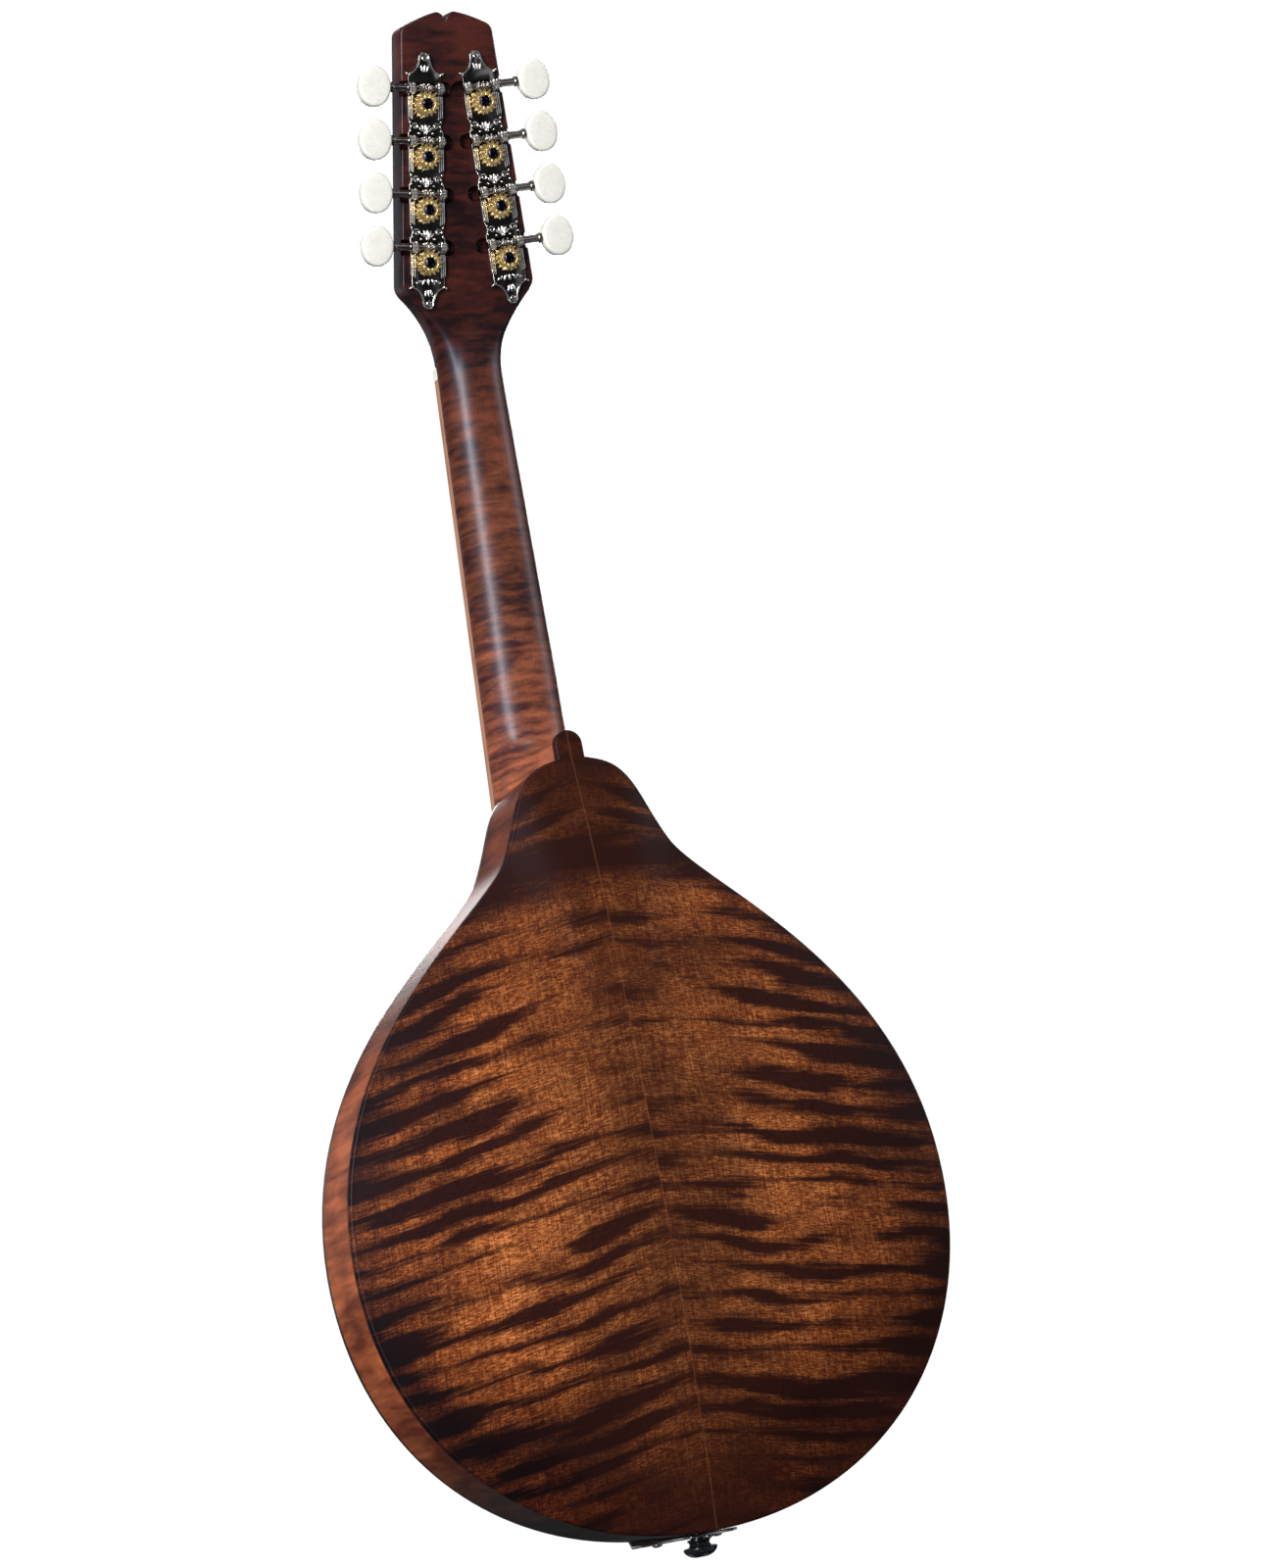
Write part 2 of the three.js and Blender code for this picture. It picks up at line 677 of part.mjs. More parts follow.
function neckWood() {
  const inBody = (geometry) => moved(geometry, bodyFrame, neckFrame);
  const boardBack = neck.boardThickness + GAP;
  const overlayBack = head.face + head.overlay + GAP;
  const headBlank = moved(slab(headOutline(24), head.back, overlayBack, 4), headFrame, neckFrame);
  const shaft = join([neckShaft(), headBlank, heel()]);
  const ribOutline = new THREE.Shape(wholeOutline(-GAP));
  const bodySpace = inBody(slab(ribOutline, 1, -body.depth - 3.3));
  const tongueBack = boardBack + 4.5;
  const underBoard = box([-30, 30], [tongueBack, 60], [-260, -194]);
  const tongue = box([-15, 15], [boardBack, tongueBack], [boardEndZ + 4, -190]);
  const tenonBlock = box(
    [-tenon.halfWidth, tenon.halfWidth],
    [topInsideY + 2 * GAP, backInsideY - 2 * GAP],
    [-tenon.depth, 6],
  );
  const rodSlot = box([-3.2, 3.2], [boardBack - 2, 13.5], [-172, 9]);
  const pocket = box(
    [-trussPocket.halfWidth, trussPocket.halfWidth],
    [-5, trussPocket.back],
    [trussPocket.lowZ, trussPocket.highZ],
  );
  const whole = join([cut(shaft, [bodySpace, underBoard]), tongue, inBody(tenonBlock)]);
  const headCutters = [...postHoles(40, -20), ...shaftGrooves()];
  return cut(whole, [rodSlot, pocket, ...headCutters.map((g) => moved(g, headFrame, neckFrame))]);
}

function headOverlay() {
  const plate = slab(headOutline(6.4), head.face + head.overlay, head.face, 4);
  const pocket = box([-4.6, 4.6], [-5, 10], [5, 23]);
  return cut(plate, [...postHoles(10, -5), pocket]);
}

function fingerboardBlank(inset, endInset) {
  const outline = [0, boardEndZ + endInset].map((z) => [halfWidthAt(z) - inset, z]);
  const [[nutX, nutZ], [endX, endZ]] = outline; // the corners on the treble side
  return polygon([[-nutX, nutZ], [-endX, endZ], [endX, endZ], [nutX, nutZ]]);
}

const fretNumbers = Array.from({ length: neck.frets }, (_, i) => i + 1);
const fretRail = { halfWidth: 1.5, depth: 1.2 };

// The board has a short slot under the middle of each fret, open to a channel along its underside.
function fingerboard() {
  const { boardThickness: thick, bindingWidth } = neck;
  const blank = slab(fingerboardBlank(bindingWidth + 0.1, bindingWidth + 0.1), thick, 0);
  const slotXs = [-fretRail.halfWidth - GAP, fretRail.halfWidth + GAP];
  const channelYs = [thick - fretRail.depth - GAP, thick + 1];
  const channel = box(slotXs, channelYs, [fretZ(neck.frets) - 1, 1]);
  const slots = fretNumbers.map((n) =>
    box(slotXs, [-1, thick + 1], [fretZ(n) - 0.5, fretZ(n) + 0.5]),
  );
  return cut(blank, [channel, ...slots]);
}

function fingerboardBinding() {
  const { boardThickness: thick, bindingWidth } = neck;
  const outer = slab(fingerboardBlank(0, 0), thick, 0);
  const board = fingerboardBlank(bindingWidth, bindingWidth).getPoints();
  const core = slab(polygon(board.map((p) => [p.x, p.y > -1 ? 1 : p.y])), thick + 1, -1);
  return cut(outer, [core]);
}

function frets() {
  const thick = neck.boardThickness;
  const rail = box([-fretRail.halfWidth, fretRail.halfWidth], [thick - fretRail.depth, thick],
    [fretZ(neck.frets) - 0.3, 0]);
  const crowns = fretNumbers.map((n) => {
    const low = -0.1;
    const section = polygon([
      [-neck.fretWidth / 2, low],
      [neck.fretWidth / 2, low],
      [neck.fretWidth / 4, -neck.fretHeight],
      [-neck.fretWidth / 4, -neck.fretHeight],
    ]);
    return crossbar(section, 2 * halfWidthAt(fretZ(n)) - 1).translate(0, 0, fretZ(n));
  });
  const tangs = fretNumbers.map((n) =>
    box([-fretRail.halfWidth, fretRail.halfWidth], [-0.4, thick - 0.5], [fretZ(n) - 0.3, fretZ(n) + 0.3]),
  );
  return join([rail, ...crowns, ...tangs]);
}

// x of each string at a place with the given spacings; string 0 is the outermost treble one.
function stringX(i, course, pair) {
  return course * (1.5 - Math.floor(i / 2)) + pair * (i % 2 === 0 ? 0.5 : -0.5);
}

function nutBlock() {
  const top = stringing.bottomAtNut - 0.5;
  const slotFloor = stringing.bottomAtNut + 0.15;
  const foot = neck.boardThickness - GAP;
  const halfWidth = neck.nutHalfWidth;
  const slots = Array.from({ length: 8 }, (_, i) => {
    const x = stringX(i, stringing.courseAtNut, stringing.pairAtNut);
    const half = stringRadius[courseNames[Math.floor(i / 2)]] + 0.12;
    return [[x + half, top], [x + half, slotFloor], [x - half, slotFloor], [x - half, top]];
  });
  const corners = [[halfWidth, foot], [halfWidth - 0.3, top + 0.3], ...slots.flat(),
    [-halfWidth + 0.3, top + 0.3], [-halfWidth, foot]];
  const shape = polygon(corners.map(([x, y]) => [x, -y]));
  const geometry = new THREE.ExtrudeGeometry(shape, { depth: 5, bevelEnabled: false });
  return geometry.rotateX(Math.PI).translate(0, 0, 5.4);
}

function trussRodBar() {
  return pinAlongZ(trussRod.radius, trussRod.lowZ, trussRod.highZ, 0, trussRod.y, 8);
}

function trussRodNut() {
  const hexagon = pinAlongZ(3.9, 9, 16, 0, trussRod.y, 6);
  const bore = pinAlongZ(trussRod.radius + 0.3, 0, 30, 0, trussRod.y, 10);
  return cut(hexagon, [bore]);
}

function trussCover() {
  const shape = new THREE.Shape();
  shape.moveTo(-10, 6.5);
  shape.lineTo(10, 6.5);
  shape.bezierCurveTo(10.5, 14, 4.5, 20, 4, 29);
  shape.absarc(0, 29, 4, 0, Math.PI);
  shape.bezierCurveTo(-4.5, 20, -10.5, 14, -10, 6.5);
  return slab(shape, head.face - GAP, head.face - GAP - 1.4, 6);
}

function addNeck(neckParent, headParent) {
  addMesh(neckParent, 'neck', neckWood(), darkMaple);
  addMesh(neckParent, 'fingerboard', fingerboard(), rosewood);
  addMesh(neckParent, 'fingerboard_binding', fingerboardBinding(), agedIvory);
  addMesh(neckParent, 'frets', frets(), nickel);
  addMesh(neckParent, 'nut', nutBlock(), bone);
  addMesh(neckParent, 'truss_rod', trussRodBar(), darkSteel);
  addMesh(neckParent, 'truss_rod_nut', trussRodNut(), brass);
  addMesh(headParent, 'headstock_overlay', headOverlay(), blackVeneer);
  addMesh(headParent, 'truss_rod_cover', trussCover(), blackPlastic);
}

// ---------------------------------------------------------------- tuners

// The tuner pieces are drawn for the treble row in the strip's frame: x out towards the buttons, y
// behind the headstock as in the head frame, z along the row, with the first post at x = z = 0.

function tunerPlate() {
  const { plateHalfWidth: w, pitch, count } = tuner;
  const low = -10.5;
  const high = pitch * (count - 1) + 13;
  const shape = new THREE.Shape();
  shape.moveTo(-w, low);
  shape.bezierCurveTo(-5.5, low - 1, -3.5, low - 2, -2.8, low - 7);
  shape.absarc(0, low - 7, 2.8, Math.PI, 2 * Math.PI);
  shape.bezierCurveTo(3.5, low - 2, 5.5, low - 1, w, low);
  shape.lineTo(w, high);
  shape.bezierCurveTo(5.5, high + 1, 3.5, high + 2, 2.8, high + 7);
  shape.absarc(0, high + 7, 2.8, 0, Math.PI);
  shape.bezierCurveTo(-3.5, high + 2, -5.5, high + 1, -w, high);
  const strip = slab(shape, plateBackY, plateBackY - tuner.plateThickness, 4);
  const eachPost = Array.from({ length: count }, (_, i) => pitch * i);
  const lugs = eachPost.flatMap((z) =>
    [-1, 1].map((end) => {
      const xs = end > 0 ? [5.2, 8] : [-8, -5.2];
      const worm = z + wormOffset;
      return box(xs, [plateBackY - 0.5, gearMiddleY + 2.6], [worm - 2.5, worm + 2.5]);
    }),
  );
  const windows = eachPost.map((z) =>
    box([-4.6, 4.6], [plateBackY - 3, plateBackY + 0.15], [z + wormOffset - 2.6, z + wormOffset + 2.6]),
  );
  const holes = eachPost.flatMap((z) => [
    pinAlongY(tuner.postRadius + 0.4, 30, 10, 0, z, 8),
    pinAlongX(tuner.shaftRadius + 0.4, -12, 12, gearMiddleY, z + wormOffset, 6),
  ]);
  return cut(join([strip, ...lugs]), [...windows, ...holes]);
}

// The gear's teeth lean with the worm's thread, and its middle is waisted to fit round the worm.
function gear() {
  const { teeth, gearThickness, gearPitchRadius, wormPitchRadius } = tuner;
  const toothAngle = (2 * Math.PI) / teeth;
  const rootRadius = 4.35;
  const lead = Math.atan(wormLead / (2 * Math.PI * wormPitchRadius));
  const layer = (offset, tipRadius) => {
    const twist = (offset * Math.tan(lead)) / gearPitchRadius;
    const ring = [];
    for (let tooth = 0; tooth < teeth; tooth++) {
      // A gap between two teeth points along +z, where the worm is.
      const middle = RIGHT_ANGLE + toothAngle * (tooth + 0.5) + twist;
      for (const [radius, shift] of [[rootRadius, -0.5], [tipRadius, -0.12], [tipRadius, 0.12]]) {
        const angle = middle + shift * toothAngle;
        const [x, z] = [radius * Math.cos(angle), radius * Math.sin(angle)];
        ring.push(new THREE.Vector3(x, gearMiddleY + offset, z));
      }
    }
    return ring;
  };
  const half = gearThickness / 2;
  return loft([layer(-half, 5.8), layer(0, 5.35), layer(half, 5.8)]);
}

// A post with its gear: the collar passes the headstock, and the waist in front takes the string.
function stringPost() {
  const r = tuner.postRadius;
  const gearBack = gearMiddleY + tuner.gearThickness / 2;
  const profile = [
    [0, tuner.postTop],
    [r - 0.6, tuner.postTop],
    [r, tuner.postTop + 0.8],
    [r, tuner.postTop + 3],
    [r - 0.7, tuner.postTop + 4.5],
    [r - 0.7, tuner.postTop + 7],
    [r, tuner.postTop + 9],
    [r, gearBack - 0.4],
    [0, gearBack - 0.4],
  ];
  const shaft = new THREE.LatheGeometry(profile.map(([x, y]) => new THREE.Vector2(x, y)), 8);
  return join([facingOut(shaft), gear()]);
}

// The worm: a plain shaft with one right-handed thread between its two bearings.
function wormShaft() {
  const { wormPitchRadius, shaftRadius, buttonCentre, buttonLength } = tuner;
  const coreRadius = wormPitchRadius - 0.6;
  const tipRadius = wormPitchRadius + 0.45;
  const threadEnd = 3;
  const outer = pinAlongX(shaftRadius, 4.2, buttonCentre - buttonLength / 2 + 6, 0, 0, 8);
  const inner = pinAlongX(shaftRadius, -8.6, -4.2, 0, 0, 8);
  const core = pinAlongX(coreRadius, -4.5, 4.5, 0, 0, 6);
  const facets = 8;
  const turns = (2 * threadEnd) / wormLead;
  const rings = Array.from({ length: Math.round(turns * facets) + 1 }, (_, i) => {
    const angle = (2 * Math.PI * i) / facets - Math.PI * turns;
    const x = (wormLead * angle) / (2 * Math.PI);
    const at = (radius, shift) =>
      // The thread's crest crosses the gear's side of the worm in the middle of its length.
      new THREE.Vector3(x + shift, radius * Math.sin(angle), -radius * Math.cos(angle));
    const rootHalf = 0.23 * wormLead;
    const inside = coreRadius - 0.4;
    return [at(inside, -rootHalf), at(inside, rootHalf), at(tipRadius, 0)];
  });
  const geometry = join([outer, inner, core, loft(rings)]);
  return geometry.translate(0, gearMiddleY, wormOffset);
}

function button() {
  const { buttonCentre, buttonLength, buttonHeight, buttonThickness, shaftRadius } = tuner;
  const bevel = 1.6;
  const oval = new THREE.Shape();
  oval.absellipse(0, 0, buttonLength / 2 - bevel, buttonHeight / 2 - bevel, 0, 2 * Math.PI);
  const body3d = new THREE.ExtrudeGeometry(oval, {
    depth: buttonThickness - 2 * bevel,
    bevelThickness: bevel,
    bevelSize: bevel,
    bevelSegments: 1,
    curveSegments: 7,
  });
  body3d.rotateX(RIGHT_ANGLE).translate(buttonCentre, (buttonThickness - 2 * bevel) / 2, 0);
  const inner = buttonCentre - buttonLength / 2;
  const socket = pinAlongX(shaftRadius + 0.25, inner - 2, inner + 6.3, 0, 0, 8);
  return cut(body3d, [socket]).translate(0, gearMiddleY, wormOffset);
}

function addTuners(parent) {
  const pieces = {
    worm_shaft: [wormShaft(), darkSteel],
    button: [button(), pearlyPlastic],
    string_post: [stringPost(), brass],
  };
  for (const [side, sideName] of [[1, 'treble'], [-1, 'bass']]) {
    const shaped = (geometry) => (side > 0 ? geometry : mirroredInX(geometry));
    const row = new THREE.Group();
    row.position.set(side * tuner.firstPost.x, 0, tuner.firstPost.z);
    row.rotation.y = -side * tuner.rowAngle;
    parent.add(row);
    addMesh(row, `${sideName}_tuner_plate`, shaped(tunerPlate()), nickel);
    for (let i = 0; i < tuner.count; i++) {
      const station = new THREE.Group();
      station.position.z = tuner.pitch * i;
      row.add(station);
      for (const [kind, [geometry, finish]] of Object.entries(pieces)) {
        addMesh(station, `${sideName}_${kind}_${i + 1}`, shaped(geometry), finish);
      }
    }
  }
}

// ---------------------------------------------------------------- strings

function stringPath(i) {
  const radius = stringRadius[courseNames[Math.floor(i / 2)]];
  const side = i < 4 ? 1 : -1;
  const postIndex = i < 4 ? i : 7 - i;
  const post = postPlace(side, postIndex);
  const nutX = stringX(i, stringing.courseAtNut, stringing.pairAtNut);
  const bridgeX = stringX(i, stringing.courseAtBridge, stringing.pairAtBridge);
  const tailX = bridgeX * 0.86;
  const onHook = new THREE.Vector3(tailX, -58.2 - radius, tail.hookZ);
  const waist = tuner.postRadius - 0.7 + radius + GAP;
  return [
    moved(onHook, bodyFrame, neckFrame),
    new THREE.Vector3(bridgeX, stringing.bottomAtBridge - radius, -SCALE_LENGTH),
    new THREE.Vector3(nutX, stringing.bottomAtNut - radius, -0.2),
    new THREE.Vector3(nutX, stringing.bottomAtNut - radius, 5.6),
    moved(new THREE.Vector3(post.x - side * waist, stringing.postY, post.z), headFrame, neckFrame),
  ];
}

// A thin round bar through the points of a path that never doubles back.
function stringGeometry(i) {
  const radius = stringRadius[courseNames[Math.floor(i / 2)]];
  const sides = 8;
  const rings = stringPath(i).map((p) =>
    Array.from({ length: sides }, (_, k) => {
      const angle = (2 * Math.PI * k) / sides;
      return new THREE.Vector3(p.x + radius * Math.cos(angle), p.y + radius * Math.sin(angle), p.z);
    }),
  );
  return loft(rings);
}

function addStrings(parent) {
  for (let i = 0; i < 8; i++) {
    const name = courseNames[Math.floor(i / 2)];
    const finish = i < 4 ? plainSteelWire : bronzeWire;
    addMesh(parent, `${name}_string_${(i % 2) + 1}`, stringGeometry(i), finish);
  }
}

// ---------------------------------------------------------------- bridge

const stringUnderBridge = moved(
  new THREE.Vector3(0, stringing.bottomAtBridge, -SCALE_LENGTH), neckFrame, bodyFrame,
);
const bridgeLevels = {
  baseTop: soundboardFaceY(0, body.bridgeZ) - bridge.baseHeight,
  wheelBack: soundboardFaceY(0, body.bridgeZ) - bridge.baseHeight - 1.8,
  saddleFront: stringUnderBridge.y + 0.7,
};
bridgeLevels.wheelFront = bridgeLevels.wheelBack - bridge.wheelThickness;
bridgeLevels.saddleBack = bridgeLevels.wheelFront - GAP;

function bridgeBase() {
  const half = bridge.baseLength / 2;
  const stations = [-1, -0.94, -0.8, -0.64, -0.45, -0.22, 0, 0.22, 0.45, 0.64, 0.8, 0.94, 1];
  const rings = stations.map((fraction) => {
    const x = fraction * half;
    const foot = soundboardFaceY(x, body.bridgeZ) - 0.3;
    const shrink = Math.max(0, (Math.abs(fraction) - 0.6) / 0.4);
    const front = THREE.MathUtils.lerp(bridgeLevels.baseTop, foot - 2.2, shrink);
    const width = THREE.MathUtils.lerp(bridge.baseWidth, 6, Math.max(0, (Math.abs(fraction) - 0.9) * 10));
    return [[-0.5, foot], [0.5, foot], [0.34, front], [-0.34, front]].map(
      ([across, y]) => new THREE.Vector3(x, y, body.bridgeZ + across * width),
    );
  });
  const postsOnBase = [-1, 1].map((side) =>
    pinAlongY(bridge.postRadius, bridgeLevels.baseTop + 2, bridgeLevels.saddleBack - 5,
      side * bridge.postX, body.bridgeZ, 10),
  );
  return join([loft(rings), ...postsOnBase]);
}

function thumbwheel(side) {
  const { wheelRadius, postX, postRadius } = bridge;
  const { wheelBack, wheelFront } = bridgeLevels;
  const x = side * postX;
  const disc = pinAlongY(wheelRadius, wheelBack, wheelFront, x, body.bridgeZ, 20);
  return cut(disc, [pinAlongY(postRadius + GAP, wheelBack + 1, wheelFront - 1, x, body.bridgeZ, 10)]);
}

function bridgeSaddle() {
  const { saddleBack, saddleFront } = bridgeLevels;
  const half = bridge.saddleLength / 2;
  const shape = new THREE.Shape();
  shape.moveTo(-half, -saddleBack);
  shape.lineTo(half, -saddleBack);
  shape.lineTo(half, -saddleBack + 3.5);
  shape.quadraticCurveTo(half - 10, -saddleBack + 4.5, half - 14, -saddleFront);
  shape.lineTo(-half + 14, -saddleFront);
  shape.quadraticCurveTo(-half + 10, -saddleBack + 4.5, -half, -saddleBack + 3.5);
  const bar = new THREE.ExtrudeGeometry(shape, {
    depth: bridge.saddleWidth,
    bevelEnabled: false,
    curveSegments: 4,
  });
  bar.rotateX(Math.PI).translate(0, 0, body.bridgeZ + bridge.saddleWidth / 2);
  const boreRadius = bridge.postRadius + GAP;
  const bores = [-1, 1].map((side) =>
    pinAlongY(boreRadius, saddleBack + 1, saddleBack - 6.8, side * bridge.postX, body.bridgeZ, 10),
  );
  return cut(bar, bores);
}

function addBridge(frame) {
  addMesh(frame, 'bridge_base', bridgeBase(), rosewood);
  addMesh(frame, 'bridge_saddle', bridgeSaddle(), rosewood);
  addMesh(frame, 'treble_thumbwheel', thumbwheel(1), brass);
  addMesh(frame, 'bass_thumbwheel', thumbwheel(-1), brass);
}

// ---------------------------------------------------------------- tailpiece and end pin

const tailEndZ = -body.length;

function tailpieceBase() {
  const { halfWidth, flangeBackY, topEndZ, hookZ, pinY, sheet } = tail;
  const section = polygon([
    [tailEndZ - 0.3, flangeBackY],
    [tailEndZ - 0.3, -49],
    [tailEndZ + 3, -52.3],
    [topEndZ, -58.3],
    [topEndZ, -58.3 - sheet],
    [tailEndZ + 2.5, -52.3 - sheet],
    [tailEndZ - 0.3 - sheet, -49.5],
    [tailEndZ - 0.3 - sheet, flangeBackY],
  ]);
  const bent = crossbar(section, 2 * halfWidth);
  const hooks = Array.from({ length: 8 }, (_, i) => {
    const x = 0.86 * stringX(i, stringing.courseAtBridge, stringing.pairAtBridge);
    return box([x - 0.8, x + 0.8], [-60.3, -56], [hookZ - 2, hookZ - 0.3]);
  });
  const trim = (side) => {
    const corner = polygon([[side * 8, -flangeBackY - 2], [side * 30, -flangeBackY - 2], [side * 30, 44]]);
    const prism = new THREE.ExtrudeGeometry(corner, { depth: 10, bevelEnabled: false });
    return facingOut(prism.scale(1, -1, 1).translate(0, 0, tailEndZ - 5));
  };
  const pinHole = pinAlongZ(endPin.shankRadius + 0.4, tailEndZ - 5, tailEndZ + 5, 0, pinY, 12);
  return cut(join([bent, ...hooks]), [trim(1), trim(-1), pinHole]);
}

// The cover is a shell open underneath and towards the bridge.
function tailpieceCover() {
  const { halfWidth, sheet } = tail;
  const outerSection = polygon([
    [tailEndZ - 3.1, -50], [tailEndZ - 3.1, -57], [tailEndZ + 1.5, -61.3], [-268, -68.3],
    [-268, -59.5], [-320, -53.5],
  ]);
  const innerSection = polygon([
    [tailEndZ - 3.1 + sheet, -40], [tailEndZ - 3.1 + sheet, -56.5], [tailEndZ + 2, -60.1],
    [-260, -68.1], [-260, -40],
  ]);
  const outside = crossbar(outerSection, 2 * (halfWidth + GAP + 0.1 + sheet));
  return cut(outside, [crossbar(innerSection, 2 * (halfWidth + GAP + 0.1))]);
}

// The end pin's shank sits in the tail block, and its flared cap ends in a flat face.
function endPinPiece() {
  const { shankRadius, capRadius, flatRadius } = endPin;
  const profile = [
    [0, 12],
    [shankRadius - 0.4, 12],
    [shankRadius, -1.9],
    [4.2, -2.2],
    [3.9, -4.5],
    [capRadius - 0.6, -6.6],
    [capRadius, -7.6],
    [capRadius - 0.5, -8.9],
    [flatRadius, -9.6],
    [0, -9.6],
  ];
  const turned = new THREE.LatheGeometry(profile.map(([x, y]) => new THREE.Vector2(x, y)), 20);
  return facingOut(turned).rotateX(RIGHT_ANGLE).translate(0, tail.pinY, tailEndZ);
}

function addTail(frame) {
  addMesh(frame, 'tailpiece_base', tailpieceBase(), nickel);
  addMesh(frame, 'tailpiece_cover', tailpieceCover(), nickel);
  addMesh(frame, 'end_pin', endPinPiece(), blackPlastic);
}

// ---------------------------------------------------------------- assembly

addSoundBox(bodyFrame);
addNeck(neckFrame, headFrame);
addTuners(headFrame);
addStrings(neckFrame);
addBridge(bodyFrame);
addTail(bodyFrame);

export default mandolin;
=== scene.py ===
"""The looks of an A-style mandolin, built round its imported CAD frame. Lengths are in millimetres until
a piece is made, and each piece is drawn in one of the frames below."""

import math

import bmesh
import bpy
from mathutils import Matrix, Vector


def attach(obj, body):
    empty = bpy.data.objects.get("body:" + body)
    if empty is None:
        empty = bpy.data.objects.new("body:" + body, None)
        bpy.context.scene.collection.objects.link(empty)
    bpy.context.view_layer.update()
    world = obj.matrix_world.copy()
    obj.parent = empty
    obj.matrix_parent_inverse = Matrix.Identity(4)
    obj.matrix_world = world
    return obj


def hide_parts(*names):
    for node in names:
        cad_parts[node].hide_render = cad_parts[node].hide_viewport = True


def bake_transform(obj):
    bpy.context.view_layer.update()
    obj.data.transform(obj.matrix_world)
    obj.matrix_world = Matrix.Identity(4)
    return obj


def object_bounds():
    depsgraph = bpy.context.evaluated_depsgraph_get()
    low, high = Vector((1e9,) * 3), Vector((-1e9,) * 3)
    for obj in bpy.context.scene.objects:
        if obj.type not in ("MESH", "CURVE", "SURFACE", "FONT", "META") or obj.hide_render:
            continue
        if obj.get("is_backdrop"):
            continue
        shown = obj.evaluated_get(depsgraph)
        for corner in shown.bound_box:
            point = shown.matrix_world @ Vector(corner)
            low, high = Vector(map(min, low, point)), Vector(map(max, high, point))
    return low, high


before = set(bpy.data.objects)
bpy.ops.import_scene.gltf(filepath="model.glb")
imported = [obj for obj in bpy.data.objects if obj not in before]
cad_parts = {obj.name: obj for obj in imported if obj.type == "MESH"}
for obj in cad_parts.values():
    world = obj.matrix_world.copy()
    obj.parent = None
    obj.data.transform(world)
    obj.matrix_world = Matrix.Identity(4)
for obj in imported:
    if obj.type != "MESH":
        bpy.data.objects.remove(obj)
cad_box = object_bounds()

MM = 0.001
SIDES = (("treble", 1), ("bass", -1))
COURSES = ("e", "a", "d", "g")

# ---------------------------------------------------------------- the object's dimensions, as in the CAD

SCALE_LENGTH = 352
NECK_PITCH = math.radians(5.1)
HEAD_PITCH = math.radians(12)
ROW_ANGLE = math.radians(4.2)

BODY = Matrix.Translation((0, 32.4, -186.1))
NECK = Matrix.Translation((0, -12, 0)) @ Matrix.Rotation(-NECK_PITCH, 4, "X")
HEAD = NECK @ Matrix.Rotation(-HEAD_PITCH, 4, "X")

BODY_LENGTH = 328.5
HALF_WIDTH = 131.7
WIDEST_Z = -198.5
DEPTH = 47.7
PLATE_EDGE = 4
PLATE_MIDDLE = 5.5
BACK_ARCH = 11.5
TOP_ARCH = 12.5
BRIDGE_Z = -164.3

NUT_HALF_WIDTH = 14.5
HALF_WIDTH_AT_15 = 19
BOARD_THICKNESS = 5
FRETS = 20
HEAD_FACE = 2.5
HEAD_BACK = 16
OVERLAY = 1.5

POST_PITCH = 23
POST_X = 18.35
POST_Z = 51.8
POST_WAIST = 2.3
WAIST_Y = -2.75
GEAR_Y = 19.2
GEAR_HALF = 1.6
WORM_Z = 6.8
WORM_LEAD = 2.073
PLATE_BACK_Y = 17.4
TEETH = 15

STRING_RADIUS = {"e": 0.14, "a": 0.2, "d": 0.33, "g": 0.5}
AT_NUT = (7.4, 2.3)  # from course to course, and between the two strings of a course
AT_BRIDGE = (12.2, 2.7)
TAIL_X = 0.86  # spacing at the tail, as a share of that at the bridge
STUD_X = 26
TAIL_END = -BODY_LENGTH
FLANGE = 1.5  # how far the tailpiece's flange stands out from the tail
HOOK_Z = -304
PIN_Y = -24


def row_frame(side):
    """The frame of one row of tuners: x out towards its buttons, z along the row from the first post."""
    turned = Matrix.Rotation(-side * ROW_ANGLE, 4, "Y")
    mirrored = Matrix.Scale(side, 4, (1, 0, 0))
    return HEAD @ Matrix.Translation((side * POST_X, 0, POST_Z)) @ turned @ mirrored


def station(side, i):
    return row_frame(side) @ Matrix.Translation((0, 0, POST_PITCH * i))


def fret_z(n):
    return -SCALE_LENGTH * (1 - 2 ** (-n / 12))


def board_half_width(z):
    return NUT_HALF_WIDTH + (HALF_WIDTH_AT_15 - NUT_HALF_WIDTH) * z / fret_z(15)


def lerp(a, b, t):
    return a + (b - a) * t


def smoothstep(x, low, high):
    t = min(1, max(0, (x - low) / (high - low)))
    return t * t * (3 - 2 * t)


def carving(from_edge):
    """Height of a carved plate over its edge, from 0 at the edge to 1 in the middle."""
    return 1 - (1 - from_edge) ** 2.5


# ---------------------------------------------------------------- solids: (points, faces)

def loft(rings, closed=False):
    """A solid through rings of equal count. Unless the rings close on themselves, it has two end faces."""
    count = len(rings[0])
    points = [p for ring in rings for p in ring]
    faces = []
    spans = len(rings) if closed else len(rings) - 1
    for r in range(spans):
        here = r * count
        there = ((r + 1) % len(rings)) * count
        for i in range(count):
            j = (i + 1) % count
            faces.append((here + i, here + j, there + j, there + i))
    if not closed:
        faces.append(tuple(range(count)))
        faces.append(tuple(reversed(range((len(rings) - 1) * count, len(rings) * count))))
    return points, faces


def joined(*solids):
    points, faces = [], []
    for more_points, more_faces in solids:
        start = len(points)
        points.extend(more_points)
        faces.extend(tuple(i + start for i in face) for face in more_faces)
    return points, faces


def moved(solid, *steps):
    """A solid moved by a matrix or by an offset (x, y, z)."""
    points, faces = solid
    for step in steps:
        matrix = step if isinstance(step, Matrix) else Matrix.Translation(step)
        points = [matrix @ p for p in points]
    return points, faces


